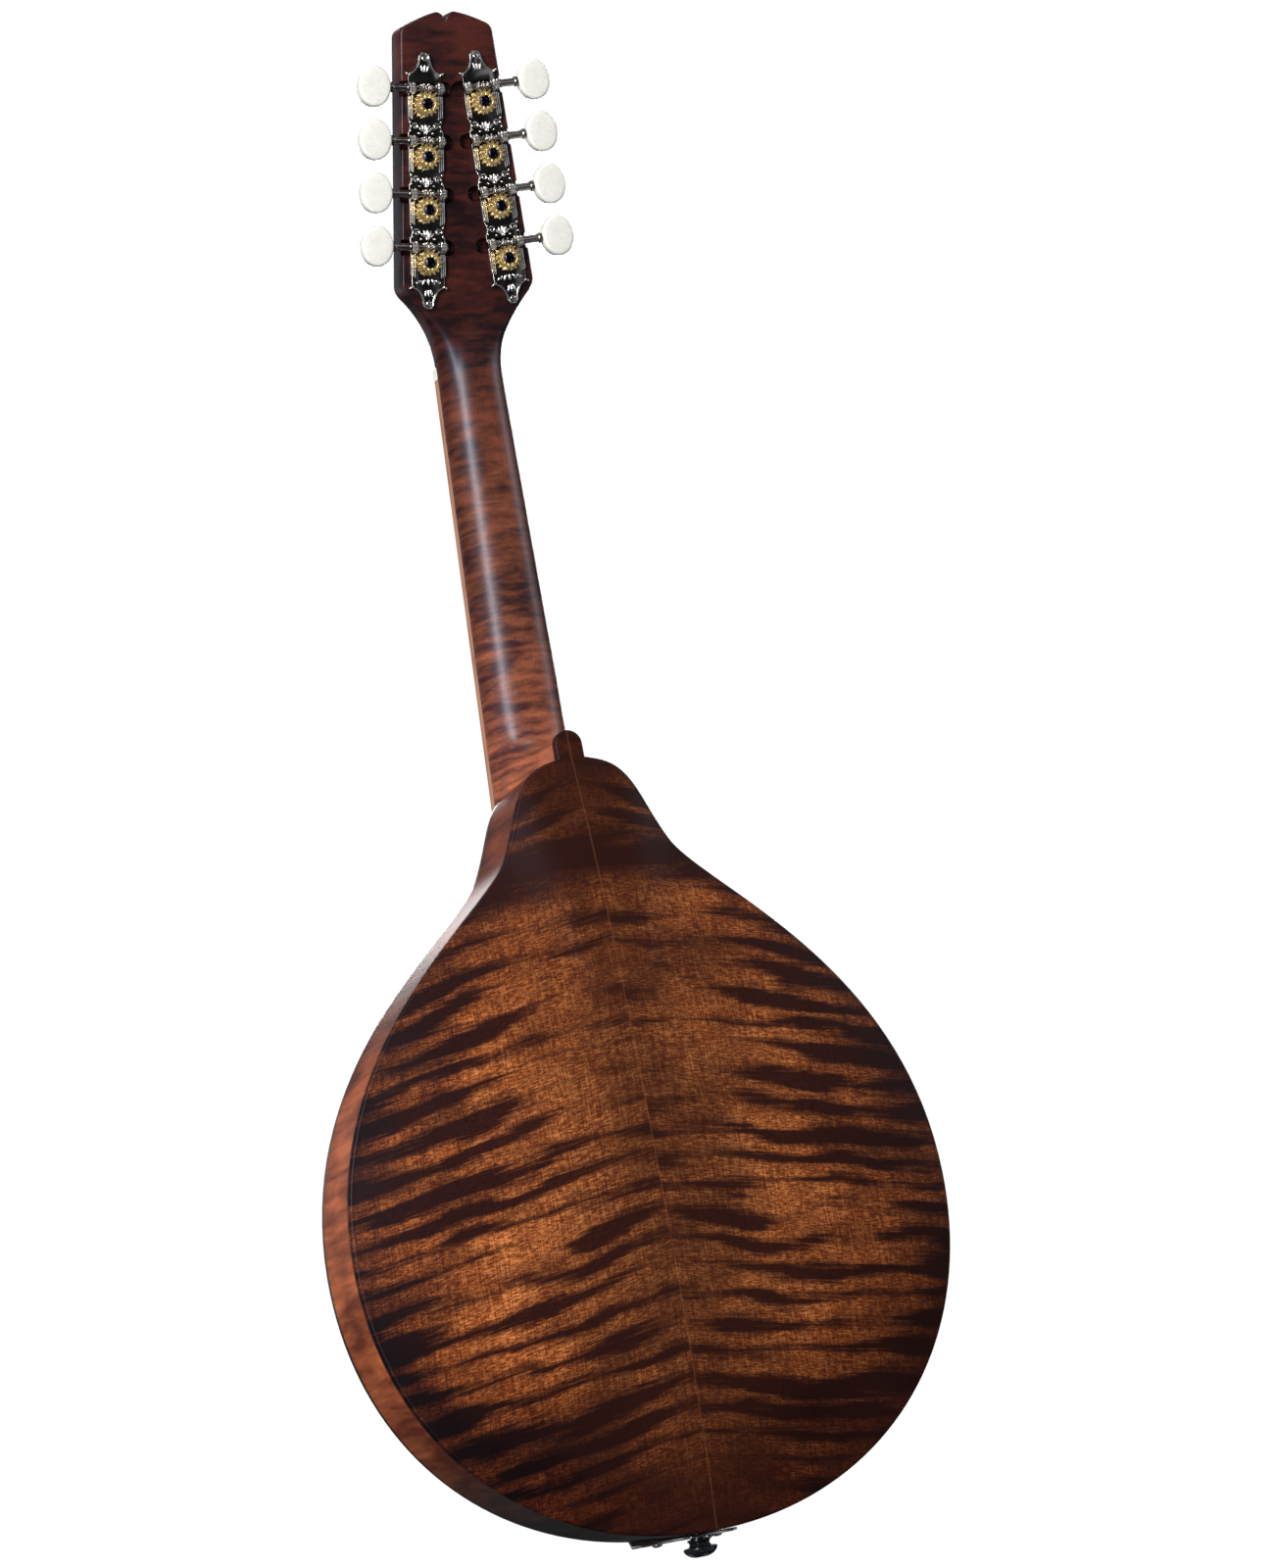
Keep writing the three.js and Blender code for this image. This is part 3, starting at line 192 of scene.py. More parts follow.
def lathe(profile, sides=24, axis="Y", closed=False):
    """A profile of (radius, height) turned about an axis. A closed profile makes a ring."""
    def place(radius, height, angle):
        a, b = radius * math.cos(angle), radius * math.sin(angle)
        return {"X": Vector((height, a, b)), "Y": Vector((a, height, b)), "Z": Vector((a, b, height))}[axis]

    rings = [[place(max(radius, 0.02), height, a) for a in circle(sides)] for radius, height in profile]
    return loft(rings, closed)


def inward_normals(outline):
    """The inward normal at each point of a closed outline of 2D vectors."""
    area = sum(a.x * b.y - b.x * a.y for a, b in zip(outline, outline[1:] + outline[:1]))
    turn = 1 if area > 0 else -1
    normals = []
    for i, p in enumerate(outline):
        before, after = outline[i - 1], outline[(i + 1) % len(outline)]
        first = (p - before).normalized()
        second = (after - p).normalized()
        tangent = (first + second).normalized()
        mitre = max(0.5, first.dot(tangent))
        normals.append(Vector((-tangent.y, tangent.x)) * turn / mitre)
    return normals


def pillow(outline, front, back, front_round=0.0, back_round=0.0, steps=4):
    """An outline in (x, z) given thickness from y = front to y = back, with rounded edges."""
    outline = [Vector(p) for p in outline]
    normals = inward_normals(outline)

    def ring(y, inset):
        return [Vector((p.x + n.x * inset, y, p.y + n.y * inset)) for p, n in zip(outline, normals)]

    def rounding(face_y, radius, inward):
        for step in range(steps + 1):
            angle = math.pi / 2 * step / steps
            yield ring(face_y + inward * radius * (1 - math.sin(angle)), radius * (1 - math.cos(angle)))

    rings = list(reversed(list(rounding(front, front_round, 1)))) if front_round else [ring(front, 0)]
    rings += list(rounding(back, back_round, -1)) if back_round else [ring(back, 0)]
    return loft(rings)


def block(xs, ys, zs, rounded=0.0):
    """A box with its x-z corners and its y edges rounded."""
    if rounded:
        outline = rounded_rectangle(xs, zs, rounded)
        return pillow(outline, ys[0], ys[1], rounded * 0.7, rounded * 0.7, 3)
    corners = [(xs[i], zs[k]) for i, k in ((0, 0), (1, 0), (1, 1), (0, 1))]
    return pillow(corners, ys[0], ys[1])


def rounded_rectangle(xs, zs, radius, steps=4):
    outline = []
    corners = ((xs[1], zs[0], -90), (xs[1], zs[1], 0), (xs[0], zs[1], 90), (xs[0], zs[0], 180))
    for x, z, start in corners:
        cx = x - math.copysign(radius, x - sum(xs) / 2)
        cz = z - math.copysign(radius, z - sum(zs) / 2)
        outline += arc(cx, cz, radius, start, start + 90, steps)
    return outline


def arc(cx, cz, radius, start, end, steps):
    """Points of an arc from start to end degrees."""
    angles = [math.radians(lerp(start, end, k / steps)) for k in range(steps + 1)]
    return [Vector((cx + radius * math.cos(a), cz + radius * math.sin(a))) for a in angles]


def circle(count):
    """Angles evenly spaced round a circle."""
    return [2 * math.pi * k / count for k in range(count)]


def reflected(outline):
    """Points in (x, z) reflected across x = 0 and run backwards."""
    return [Vector((-p.x, p.y)) for p in reversed(outline)]


def bezier(points, steps):
    """Points of a quadratic or cubic Bezier curve, without its first point."""
    found = []
    for k in range(1, steps + 1):
        row = [Vector(p) for p in points]
        while len(row) > 1:
            row = [a.lerp(b, k / steps) for a, b in zip(row, row[1:])]
        found.append(row[0])
    return found


def tube(path, radius, sides=10):
    """A round tube along a path. radius is a number, or a function of the share of the way along."""
    size = radius if callable(radius) else (lambda share: radius)
    tangent = (path[1] - path[0]).normalized()
    across = tangent.orthogonal().normalized()
    rings = []
    for i, p in enumerate(path):
        ahead = path[min(i + 1, len(path) - 1)] - path[max(i - 1, 0)]
        tangent = ahead.normalized()
        across = (across - tangent * across.dot(tangent)).normalized()
        up = tangent.cross(across)
        r = size(i / (len(path) - 1))
        rings.append([p + across * (r * math.cos(a)) + up * (r * math.sin(a)) for a in circle(sides)])
    return loft(rings)


def half_dome(x, z, y, half_length, half_width, height, turn=0.0, sides=12):
    """An oval bump standing on the level y, its length turned from z towards x."""
    foot = Vector((0, -0.3, 0))
    rings = []
    for k in range(5):
        lift = math.radians(18 * k + 3)
        share = math.cos(lift)
        ring = []
        for a in circle(sides):
            across, along = half_width * share * math.cos(a), half_length * share * math.sin(a)
            ring.append(Vector((
                x + across * math.cos(turn) + along * math.sin(turn),
                y + height * math.sin(lift),
                z - across * math.sin(turn) + along * math.cos(turn),
            )))
        rings.append(ring)
    return loft([[p + foot for p in rings[0]]] + rings)


# ---------------------------------------------------------------- solids to objects

def to_object(name, solid):
    mesh = bpy.data.meshes.new(name)
    points, faces = solid
    mesh.from_pydata([p * MM for p in points], [], faces)
    shell = bmesh.new()
    shell.from_mesh(mesh)
    bmesh.ops.remove_doubles(shell, verts=shell.verts, dist=1e-7)
    bmesh.ops.recalc_face_normals(shell, faces=shell.faces)
    shell.to_mesh(mesh)
    shell.free()
    made = bpy.data.objects.new(name, mesh)
    bpy.context.scene.collection.objects.link(made)
    return made


def applied(made):
    """Replaces an object's mesh by what its modifiers make of it."""
    graph = bpy.context.evaluated_depsgraph_get()
    result = bpy.data.meshes.new_from_object(made.evaluated_get(graph))
    made.modifiers.clear()
    made.data = result
    return made


def combine(solid, others, operation):
    """A solid joined with others (UNION) or cut by them (DIFFERENCE)."""
    base = to_object("base", solid)
    tools = [to_object("tool", other) for other in others]
    for tool in tools:
        step = base.modifiers.new("boolean", "BOOLEAN")
        step.operation = operation
        step.solver = "EXACT"
        step.object = tool
    applied(base)
    points = [v.co / MM for v in base.data.vertices]
    faces = [tuple(face.vertices) for face in base.data.polygons]
    for made in [base, *tools]:
        bpy.data.objects.remove(made)
    return points, faces


def piece(name, solid, finish, body="root", stands_for=(), slot=None, sharp=35, bevel=0.0):
    """Makes a piece of the object from a solid in the part's frame."""
    made = to_object(name, solid)
    if bevel:
        step = made.modifiers.new("bevel", "BEVEL")
        step.width = bevel * MM
        step.segments = 2
        step.limit_method = "ANGLE"
        step.angle_limit = math.radians(40)
        applied(made)
    made.data.shade_smooth()
    made.data.set_sharp_from_angle(angle=math.radians(sharp))
    made.data.materials.clear()
    made.data.materials.append(finish)
    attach(made, body)
    return described(made, stands_for, slot)


def described(made, stands_for, slot):
    if stands_for:
        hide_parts(*stands_for)
    return made


# ---------------------------------------------------------------- materials

class Finish:
    """A material under construction: a Principled shader and the nodes that feed it."""

    def __init__(self, name, **settings):
        self.material = bpy.data.materials.new(name)
        self.material.use_nodes = True
        self.tree = self.material.node_tree
        self.shader = self.tree.nodes["Principled BSDF"]
        for socket, value in settings.items():
            self.shader.inputs[socket.replace("_", " ")].default_value = value
        self.coords = self.tree.nodes.new("ShaderNodeTexCoord").outputs["Object"]

    def node(self, kind, **settings):
        made = self.tree.nodes.new("ShaderNode" + kind)
        for key, value in settings.items():
            setattr(made, key, value)
        return made

    def feed(self, socket, value):
        if isinstance(value, bpy.types.NodeSocket):
            self.tree.links.new(value, socket)
        else:
            socket.default_value = value

    def maths(self, operation, a, b=0.0, c=0.0):
        made = self.node("Math", operation=operation)
        for socket, value in zip(made.inputs, (a, b, c)):
            self.feed(socket, value)
        return made.outputs[0]

    def sized(self, size, at=None):
        """Coordinates in which a feature of the texture has the given size in x, y and z, in millimetres."""
        made = self.node("VectorMath", operation="MULTIPLY")
        self.feed(made.inputs[0], at or self.coords)
        made.inputs[1].default_value = [1 / (length * MM) for length in size]
        return made.outputs[0]

    def noise(self, size, detail=2.0, roughness=0.5, distortion=0.0, at=None):
        made = self.node("TexNoise")
        self.feed(made.inputs["Vector"], self.sized(size, at))
        made.inputs["Scale"].default_value = 1
        made.inputs["Detail"].default_value = detail
        made.inputs["Roughness"].default_value = roughness
        made.inputs["Distortion"].default_value = distortion
        return made.outputs["Fac"]

    def between(self, value, low, high, out_low=0.0, out_high=1.0):
        made = self.node("MapRange", clamp=True)
        for name, given in (("Value", value), ("From Min", low), ("From Max", high),
                            ("To Min", out_low), ("To Max", out_high)):
            self.feed(made.inputs[name], given)
        return made.outputs[0]

    def ramp(self, value, stops):
        made = self.node("ValToRGB")
        self.feed(made.inputs[0], value)
        elements = made.color_ramp.elements
        while len(elements) < len(stops):
            elements.new(0.5)
        for element, (place, colour) in zip(elements, stops):
            element.position = place
            element.color = (*colour, 1)
        return made.outputs[0]

    def mix(self, share, a, b, blend="MIX"):
        made = self.node("Mix", data_type="RGBA", blend_type=blend)
        self.feed(made.inputs[0], share)
        for socket, value in ((made.inputs[6], a), (made.inputs[7], b)):
            self.feed(socket, (*value, 1) if isinstance(value, tuple) and len(value) == 3 else value)
        return made.outputs[2]

    def colour(self, value):
        self.feed(self.shader.inputs["Base Color"], value)

    def roughness(self, value):
        self.feed(self.shader.inputs["Roughness"], value)

    def bump(self, height, depth_mm, strength=1.0):
        """Raises the surface by the height, a socket from 0 to 1, times depth_mm."""
        made = self.node("Bump")
        made.inputs["Strength"].default_value = strength
        made.inputs["Distance"].default_value = depth_mm * MM
        self.feed(made.inputs["Height"], height)
        before = self.shader.inputs["Normal"].links
        if before:
            self.feed(made.inputs["Normal"], before[0].from_socket)
        self.feed(self.shader.inputs["Normal"], made.outputs[0])


def apart(finish):
    """The x, y and z of the coordinates, as three sockets."""
    split = finish.node("SeparateXYZ")
    finish.feed(split.inputs[0], finish.coords)
    return tuple(split.outputs[axis] for axis in "XYZ")


def bookmatched(finish, slope):
    """Coordinates mirrored at the seam, whose levels fall away from it by the slope."""
    x, y, z = apart(finish)
    off_seam = finish.maths("ABSOLUTE", x)
    level = finish.maths("MULTIPLY_ADD", off_seam, slope, z)
    made = finish.node("CombineXYZ")
    for name, socket in (("X", off_seam), ("Y", y), ("Z", level)):
        finish.feed(made.inputs[name], socket)
    return made.outputs[0], off_seam, level


def step_at_seam(finish, height):
    """A height on the bass side of the seam, 0 on the treble side."""
    return finish.between(apart(finish)[0], -0.0004, 0.0004, height, 0)


def flames(finish, whole, level, spacing, off_seam):
    """Dark flames across the wood, 1 in a flame and 0 between two. They stand spacing mm apart, wander,
    fray at their edges, come and go, and are strongest away from the seam."""
    wander = finish.noise((75, 400, 30), 1.5, at=whole)
    wiggle = finish.noise((26, 400, 8), 2.0, at=whole)
    phase = finish.maths("MULTIPLY_ADD", level, 1 / (spacing * MM), finish.maths("MULTIPLY", wander, 2.0))
    phase = finish.maths("MULTIPLY_ADD", wiggle, 0.7, phase)
    phase = finish.maths("ADD", phase, step_at_seam(finish, 0.22))
    wave = finish.maths("SINE", finish.maths("MULTIPLY", phase, 2 * math.pi))
    fray = finish.noise((38, 400, 1.6), 3.0, 0.6, 0.2, at=whole)
    patch = finish.noise((56, 400, 30), 1.5, at=whole)
    sides = finish.between(off_seam, 0.0, 0.08, -0.10, 0.08)
    figure = finish.maths("MULTIPLY_ADD", wave, 0.25, fray)
    figure = finish.maths("MULTIPLY_ADD", patch, 1.7, figure)
    return finish.between(finish.maths("ADD", figure, sides), 1.22, 1.62)


def fine_figure(finish, whole):
    """The short bright dashes of curly maple, crossed by faint lines along the grain."""
    dashes = finish.noise((2.6, 3, 0.55), 3.0, 0.7, 0.4, at=whole)
    grain = finish.noise((0.5, 3, 9), 2.0, 0.6, at=whole)
    return finish.between(finish.maths("MULTIPLY_ADD", grain, 0.45, dashes), 0.52, 0.90)


def flamed_maple():
    """The bookmatched back: orange-brown maple with near-black flames, darker towards its ends."""
    finish = Finish("flamed_maple", Specular_IOR_Level=0.14, Specular_Tint=(0.75, 0.8, 1, 1))
    whole, off_seam, level = bookmatched(finish, 0.16)
    dark_flame = flames(finish, whole, level, 11.5, off_seam)
    drift = finish.noise((34, 400, 5), 3.0)
    over_band = finish.maths("MULTIPLY_ADD", drift, 0.022, finish.maths("ADD", level, 0.217))
    from_band = finish.maths("ABSOLUTE", over_band)
    heel_band = finish.between(from_band, 0.006, 0.017, 1.0, 0)
    dark_flame = finish.maths("MAXIMUM", dark_flame, heel_band)
    figure = fine_figure(finish, whole)
    light = finish.ramp(figure, (
        (0.0, (0.060, 0.009, 0.0014)), (0.45, (0.25, 0.056, 0.0098)), (1.0, (0.78, 0.295, 0.094))))
    cloud = finish.noise((16, 400, 9), 2.0, at=whole)
    light = finish.mix(finish.between(cloud, 0.38, 0.62, 0.45, 0), light, (0.075, 0.015, 0.004))
    dark = finish.mix(figure, (0.0070, 0.0020, 0.0020), (0.042, 0.0090, 0.0035))
    shaded = finish.mix(1.0, finish.mix(dark_flame, light, dark), end_shade(finish), "MULTIPLY")
    smoke = finish.between(finish.noise((62, 400, 34), 2.0), 0.50, 0.66, 0, 0.50)
    shaded = finish.mix(smoke, shaded, (0.014, 0.0035, 0.0025))
    # The bass half is darkened as painted shade, standing in for light that falls differently on the two
    # bookmatched halves; the back is also darker towards the seam.
    middle = finish.between(off_seam, 0.010, 0.075, 0.70, 0)
    bass_half_shade_and_middle_tone = finish.maths("MAXIMUM", step_at_seam(finish, 0.30), middle)
    shaded = finish.mix(bass_half_shade_and_middle_tone, shaded, (0.020, 0.0045, 0.002))
    seam = finish.between(off_seam, 0.0, 0.0005, 0.28, 0)
    finish.colour(finish.mix(seam, shaded, (0.22, 0.075, 0.03)))
    finish.roughness(finish.between(figure, 0, 1, 0.50, 0.42))
    finish.bump(figure, 0.015, 0.4)
    return finish.material


def reach_from_middle(finish, up, down, middle_z):
    """Distance from the middle of the sound box: 1 at its sides, and at up and down metres from it in z."""
    x, _, z = apart(finish)
    above = finish.maths("SUBTRACT", z, middle_z)
    shares = (
        finish.maths("DIVIDE", x, HALF_WIDTH * MM),
        finish.maths("MAXIMUM", finish.maths("DIVIDE", above, up), 0),
        finish.maths("MINIMUM", finish.maths("DIVIDE", above, down), 0),
    )
    squares = [finish.maths("MULTIPLY", share, share) for share in shares]
    return finish.maths("SQRT", finish.maths("ADD", finish.maths("ADD", squares[0], squares[1]), squares[2]))


def end_shade(finish):
    """A tint that darkens the back near its outline, its heel and its tail."""
    reach = reach_from_middle(finish, 0.205, 0.114, (BODY.translation.z + WIDEST_Z) * MM)
    wander = finish.noise((45, 45, 45), 2.0)
    edge = finish.maths("MULTIPLY_ADD", wander, 0.6, reach)
    return finish.ramp(finish.between(edge, 0.65, 1.35), (
        (0.0, (1.12, 1.12, 1.12)), (0.5, (0.74, 0.66, 0.6)), (1.0, (0.16, 0.10, 0.09))))


def stained_maple(name, light, dark, sizes, shine, tail_painted_shade, heel_painted_light, head_tint, **settings):
    """Red-brown satin maple with soft flames of the given sizes, tinted at its head; near its tail and heel
    the tint is painted light and shade.
    """
    finish = Finish(name, Specular_IOR_Level=shine, Specular_Tint=(0.7, 0.8, 1, 1), **settings)
    bands = finish.noise(sizes, 3.0, 0.6, 0.25)
    broad = finish.noise((30, 40, 42), 1.5)
    pores = finish.noise((0.5, 0.5, 3.2), 2.0, 0.6)
    figure = finish.maths("MULTIPLY_ADD", broad, 0.7, bands)
    bright = tuple(c * 1.8 for c in light)
    wood = finish.ramp(finish.between(figure, 0.68, 1.04), ((0.0, dark), (0.5, light), (1.0, bright)))
    wood = finish.mix(finish.between(pores, 0.35, 0.62, 0.35, 0), wood, dark)
    _, _, z = apart(finish)
    # Along z the tint at the head is the wood's own colour; the tint near the tail and the heel is painted
    # shade, painted reflection and painted highlight.
    tint = finish.ramp(finish.between(z, -0.52, 0.08), (
        (0.03, tail_painted_shade), (0.11, (1, 1, 1)), (0.283, (1, 1, 1)), (0.417, heel_painted_light), (0.56, heel_painted_light),
        (0.70, (1, 1, 1)), (0.78, (1, 1, 1)), (0.9, head_tint)))
    finish.colour(finish.mix(1.0, wood, tint, "MULTIPLY"))
    finish.roughness(finish.between(pores, 0.3, 0.7, 0.46, 0.40))
    finish.bump(pores, 0.01, 0.35)
    return finish.material


def stained_spruce():
    """The soundboard: straight fine grain under a dark sunburst."""
    finish = Finish("stained_spruce", Roughness=0.38, Coat_Weight=0.3, Coat_Roughness=0.2)
    growth = finish.noise((1.3, 200, 260), 2.0, 0.6)
    silk = finish.noise((9, 200, 1.6), 1.5, 0.5)
    light = finish.ramp(growth, ((0.3, (0.20, 0.062, 0.014)), (0.62, (0.43, 0.17, 0.05))))
    silky = finish.mix(finish.between(silk, 0.4, 0.7, 0.0, 0.25), light, (0.55, 0.26, 0.09))
    finish.colour(finish.mix(1.0, silky, sunburst(finish), "MULTIPLY"))
    finish.bump(growth, 0.02, 0.5)
    return finish.material


def sunburst(finish):
    """A tint from clear in the middle of the soundboard to near-black at its edge."""
    reach = reach_from_middle(finish, 0.19, 0.136, (BODY.translation.z + WIDEST_Z + 8) * MM)
    return finish.ramp(finish.between(reach, 0.35, 1.0), (
        (0.0, (1, 1, 1)), (0.45, (0.6, 0.42, 0.32)), (0.85, (0.12, 0.06, 0.045)), (1.0, (0.06, 0.03, 0.025))))


def plain_wood(name, light, dark, grain=(1.2, 1.2, 40), roughness=0.6, coat=0.0):
    """Straight-grained wood, its grain along the longest of the three sizes."""
    finish = Finish(name, Roughness=roughness, Coat_Weight=coat, Coat_Roughness=0.25)
    streaks = finish.noise(grain, 3.0, 0.6, 0.2)
    pores = finish.noise((0.35, 0.35, 3.5), 1.0)
    wood = finish.ramp(streaks, ((0.3, dark), (0.68, light)))
    finish.colour(finish.mix(finish.between(pores, 0.55, 0.72, 0, 0.5), wood, tuple(c * 0.5 for c in dark)))
    finish.roughness(finish.between(streaks, 0.3, 0.7, roughness + 0.06, roughness - 0.06))
    finish.bump(pores, 0.03, 0.5)
    return finish.material


def metal(name, colour, tarnish, roughness, metallic=1.0, brushed=(6, 6, 6)):
    """Metal with clouds of tarnish, uneven polish and fine scratches."""
    finish = Finish(name, Metallic=metallic)
    clouds = finish.noise((3, 3, 3), 3.0, 0.6)
    polish = finish.noise(brushed, 2.0)
    scratches = finish.noise((0.25, 0.25, 2.4), 1.0)
    finish.colour(finish.mix(finish.between(clouds, 0.48, 0.75), colour, tarnish))
    finish.roughness(finish.between(polish, 0.3, 0.7, roughness * 0.75, roughness * 1.4))
    finish.bump(scratches, 0.004, 0.4)
    return finish.material


def pearl_plastic():
    """Cream plastic with a faint pearly swirl and a little light under its skin."""
    finish = Finish("pearl_plastic", Roughness=0.22, Coat_Weight=0.4, Coat_Roughness=0.1,
                    Subsurface_Weight=0.12, Subsurface_Scale=0.002)
    finish.shader.inputs["Subsurface Radius"].default_value = (1.0, 0.85, 0.6)
    swirl = finish.noise((5, 5, 3), 2.0, 0.5, 2.2)
    finish.colour(finish.ramp(swirl, ((0.3, (0.74, 0.715, 0.64)), (0.55, (0.79, 0.77, 0.71)),
                                      (0.8, (0.82, 0.81, 0.77)))))
    finish.roughness(finish.between(swirl, 0.3, 0.7, 0.18, 0.27))
    return finish.material


def plain_material(name, colour, speck, roughness, grain=(2, 2, 2), **settings):
    """Bone, plastic or ivory-like material with soft specks of a second colour."""
    finish = Finish(name, Roughness=roughness, **settings)
    cloud = finish.noise(grain, 3.0, 0.6)
    finish.colour(finish.mix(finish.between(cloud, 0.45, 0.7), colour, speck))
    finish.roughness(finish.between(cloud, 0.3, 0.7, roughness * 0.85, roughness * 1.2))
    finish.bump(cloud, 0.006, 0.3)
    return finish.material


def wound_wire(name, colour, tarnish, pitch=0.28):
    """Bronze wrap wire, with the ridges of its turns across the string."""
    finish = Finish(name, Metallic=1.0, Roughness=0.32)
    turns = finish.node("TexWave", wave_type="BANDS", bands_direction="Z")
    finish.feed(turns.inputs["Vector"], finish.sized([pitch * 6.28] * 3))
    turns.inputs["Scale"].default_value = 2 * math.pi
    clouds = finish.noise((2, 2, 12), 2.0)
    finish.colour(finish.mix(clouds, colour, tarnish))
    finish.bump(turns.outputs["Fac"], 0.05, 0.7)
    return finish.material


FLAMED_MAPLE = flamed_maple()
# On the rim the tail tint is painted shade with a painted blue-grey reflection, and the heel tint is painted
# shade on the shoulders.
RIM_MAPLE = stained_maple("rim_maple", (0.30, 0.078, 0.028), (0.12, 0.025, 0.010), (7, 60, 7), 0.10,
                         (0.12, 0.30, 0.55), (0.36, 0.30, 0.34), (1, 1, 1))
# On the neck the heel tint is a painted bluish highlight that lightens the lower neck and the heel.
NECK_MAPLE = stained_maple("neck_maple", (0.125, 0.0335, 0.0130), (0.030, 0.0072, 0.0054), (15, 40, 4.2), 0.3,
                           (1, 1, 1), (2.0, 2.1, 2.4), (0.34, 0.22, 0.26),
                           Coat_Weight=0.26, Coat_Roughness=0.36, Coat_Tint=(0.8, 0.85, 1, 1))
SPRUCE = stained_spruce()
BARE_WOOD = plain_wood("bare_wood", (0.52, 0.32, 0.15), (0.40, 0.22, 0.10))
VENEER = plain_wood("black_veneer", (0.022, 0.018, 0.018), (0.010, 0.008, 0.008), (1, 1, 30), 0.3, 0.3)
ROSEWOOD = plain_wood("rosewood", (0.075, 0.032, 0.020), (0.022, 0.010, 0.008), (1.6, 1.6, 60), 0.45)
BRIDGE_WOOD = plain_wood("bridge_wood", (0.060, 0.028, 0.018), (0.018, 0.009, 0.007), (50, 1.4, 1.4), 0.4)
IVORY = plain_material("aged_ivory", (0.44, 0.20, 0.115), (0.30, 0.115, 0.06), 0.35, (8, 8, 30))
BONE = plain_material("bone", (0.86, 0.82, 0.72), (0.78, 0.70, 0.56), 0.32, (1, 1, 4))
BLACK_PLASTIC = plain_material("black_plastic", (0.012, 0.012, 0.013), (0.022, 0.022, 0.024), 0.22)
PEARL = pearl_plastic()
PEARL_DOT = plain_material("pearl_dot", (0.72, 0.75, 0.74), (0.50, 0.60, 0.62), 0.15, (1.2, 1.2, 1.2))
NICKEL = metal("nickel", (0.80, 0.77, 0.73), (0.60, 0.55, 0.50), 0.12)
# The tuner plates' relief and strip are one nickel in a lit and a shaded copy: the relief's paler colour is a
# painted highlight, the strip's dark colour painted shade between the raised parts.
LIT_NICKEL = metal("lit_nickel", (0.94, 0.91, 0.87), (0.66, 0.61, 0.56), 0.10, 0.92)
SHADED_NICKEL = metal("shaded_nickel", (0.26, 0.245, 0.23), (0.10, 0.09, 0.08), 0.14)
FRET_WIRE = metal("fret_wire", (0.70, 0.68, 0.65), (0.55, 0.50, 0.44), 0.2)
DARK_STEEL = metal("dark_steel", (0.50, 0.46, 0.43), (0.24, 0.20, 0.18), 0.14)
BLUED_STEEL = metal("blued_steel", (0.035, 0.036, 0.06), (0.015, 0.015, 0.022), 0.14)
BRASS = metal("gear_brass", (0.98, 0.72, 0.32), (0.84, 0.55, 0.20), 0.22, 0.82)
PLAIN_WIRE = metal("plain_wire", (0.62, 0.61, 0.60), (0.45, 0.43, 0.40), 0.22)
BRONZE_WIRE = wound_wire("bronze_wire", (0.56, 0.30, 0.13), (0.38, 0.19, 0.09))


# ---------------------------------------------------------------- sound box

def half_outline(steps=(24, 36, 40), inset=0.0):
    """Half of the body's outline in (x, z), from the neck round the treble side to the tail."""
    curves = (
        ((0, 0), (27.5, 0), (25.6, -17.6), (37, -39.5)),
        ((37, -39.5), (48.3, -62), (HALF_WIDTH, -105), (HALF_WIDTH, WIDEST_Z)),
        ((HALF_WIDTH, WIDEST_Z), (HALF_WIDTH, -275.5), (75.6, -BODY_LENGTH), (0, -BODY_LENGTH)),
    )
    points = [Vector((0, 0))]
    for curve, count in zip(curves, steps):
        points += bezier(curve, count)
    moved_in = []
    for i, p in enumerate(points):
        along = (points[min(i + 1, len(points) - 1)] - points[max(i - 1, 0)]).normalized()
        if i in (0, len(points) - 1):
            along = Vector((1 if i == 0 else -1, 0))
        moved_in.append(p + Vector((along.y, -along.x)) * inset)
    return moved_in


def whole_outline(inset=0.0):
    half = half_outline(inset=inset)
    return half + reflected(half[1:-1])


def edge_rounding(point, radius):
    """The rounding of a plate's edge, none where the back runs on into its heel tab."""
    return radius * smoothstep(abs(point.x), 6, 10) if point.y > -12 else radius


def carved_plate(edge_y, arch, outward, radius):
    """A carved plate in the body frame: domed outside, hollowed inside, its outer edge rounded."""
    centre = Vector((0, BRIDGE_Z))
    outline = whole_outline()
    normals = inward_normals(outline)
    flat_band = 0.09
    fractions = (0.008, 0.02, 0.035, 0.055, 0.08, 0.11, 0.15, 0.2, 0.26, 0.33, 0.41, 0.5, 0.6, 0.7, 0.8, 0.9,
                 0.97)

    def ring(inset_share, share, y_of):
        made = []
        for p, n in zip(outline, normals):
            r = edge_rounding(p, radius) if outward > 0 else radius
            q = (p + n * (r * inset_share)).lerp(centre, share)
            made.append(Vector((q.x, y_of(r), q.y)))
        return made

    def inner_y(share):
        hollow = carving(max(0, (share - flat_band) / (1 - flat_band)))
        return edge_y - outward * (PLATE_EDGE + (PLATE_MIDDLE - PLATE_EDGE) * hollow - arch * hollow)

    rings = [ring(0, t, lambda r, t=t: inner_y(t)) for t in reversed((0, flat_band, *fractions[6:]))]
    for step in range(6):
        angle = math.pi / 2 * step / 5
        drop = outward * (1 - math.sin(angle))
        rings.append(ring(1 - math.cos(angle), 0, lambda r, drop=drop: edge_y - r * drop))
    rings += [ring(1, t, lambda r, t=t: edge_y + outward * arch * carving(t)) for t in fractions]
    return loft(rings)


def heel_tab():
    """The round button of the back that covers the end of the heel."""
    half_width, top, root = 6.2, 12.3, -9
    outline = [(-half_width, root), (half_width, root), *arc(0, top - half_width, half_width, 0, 180, 20)]
    return pillow(outline, -PLATE_EDGE, 0, 0.2, 0.9)


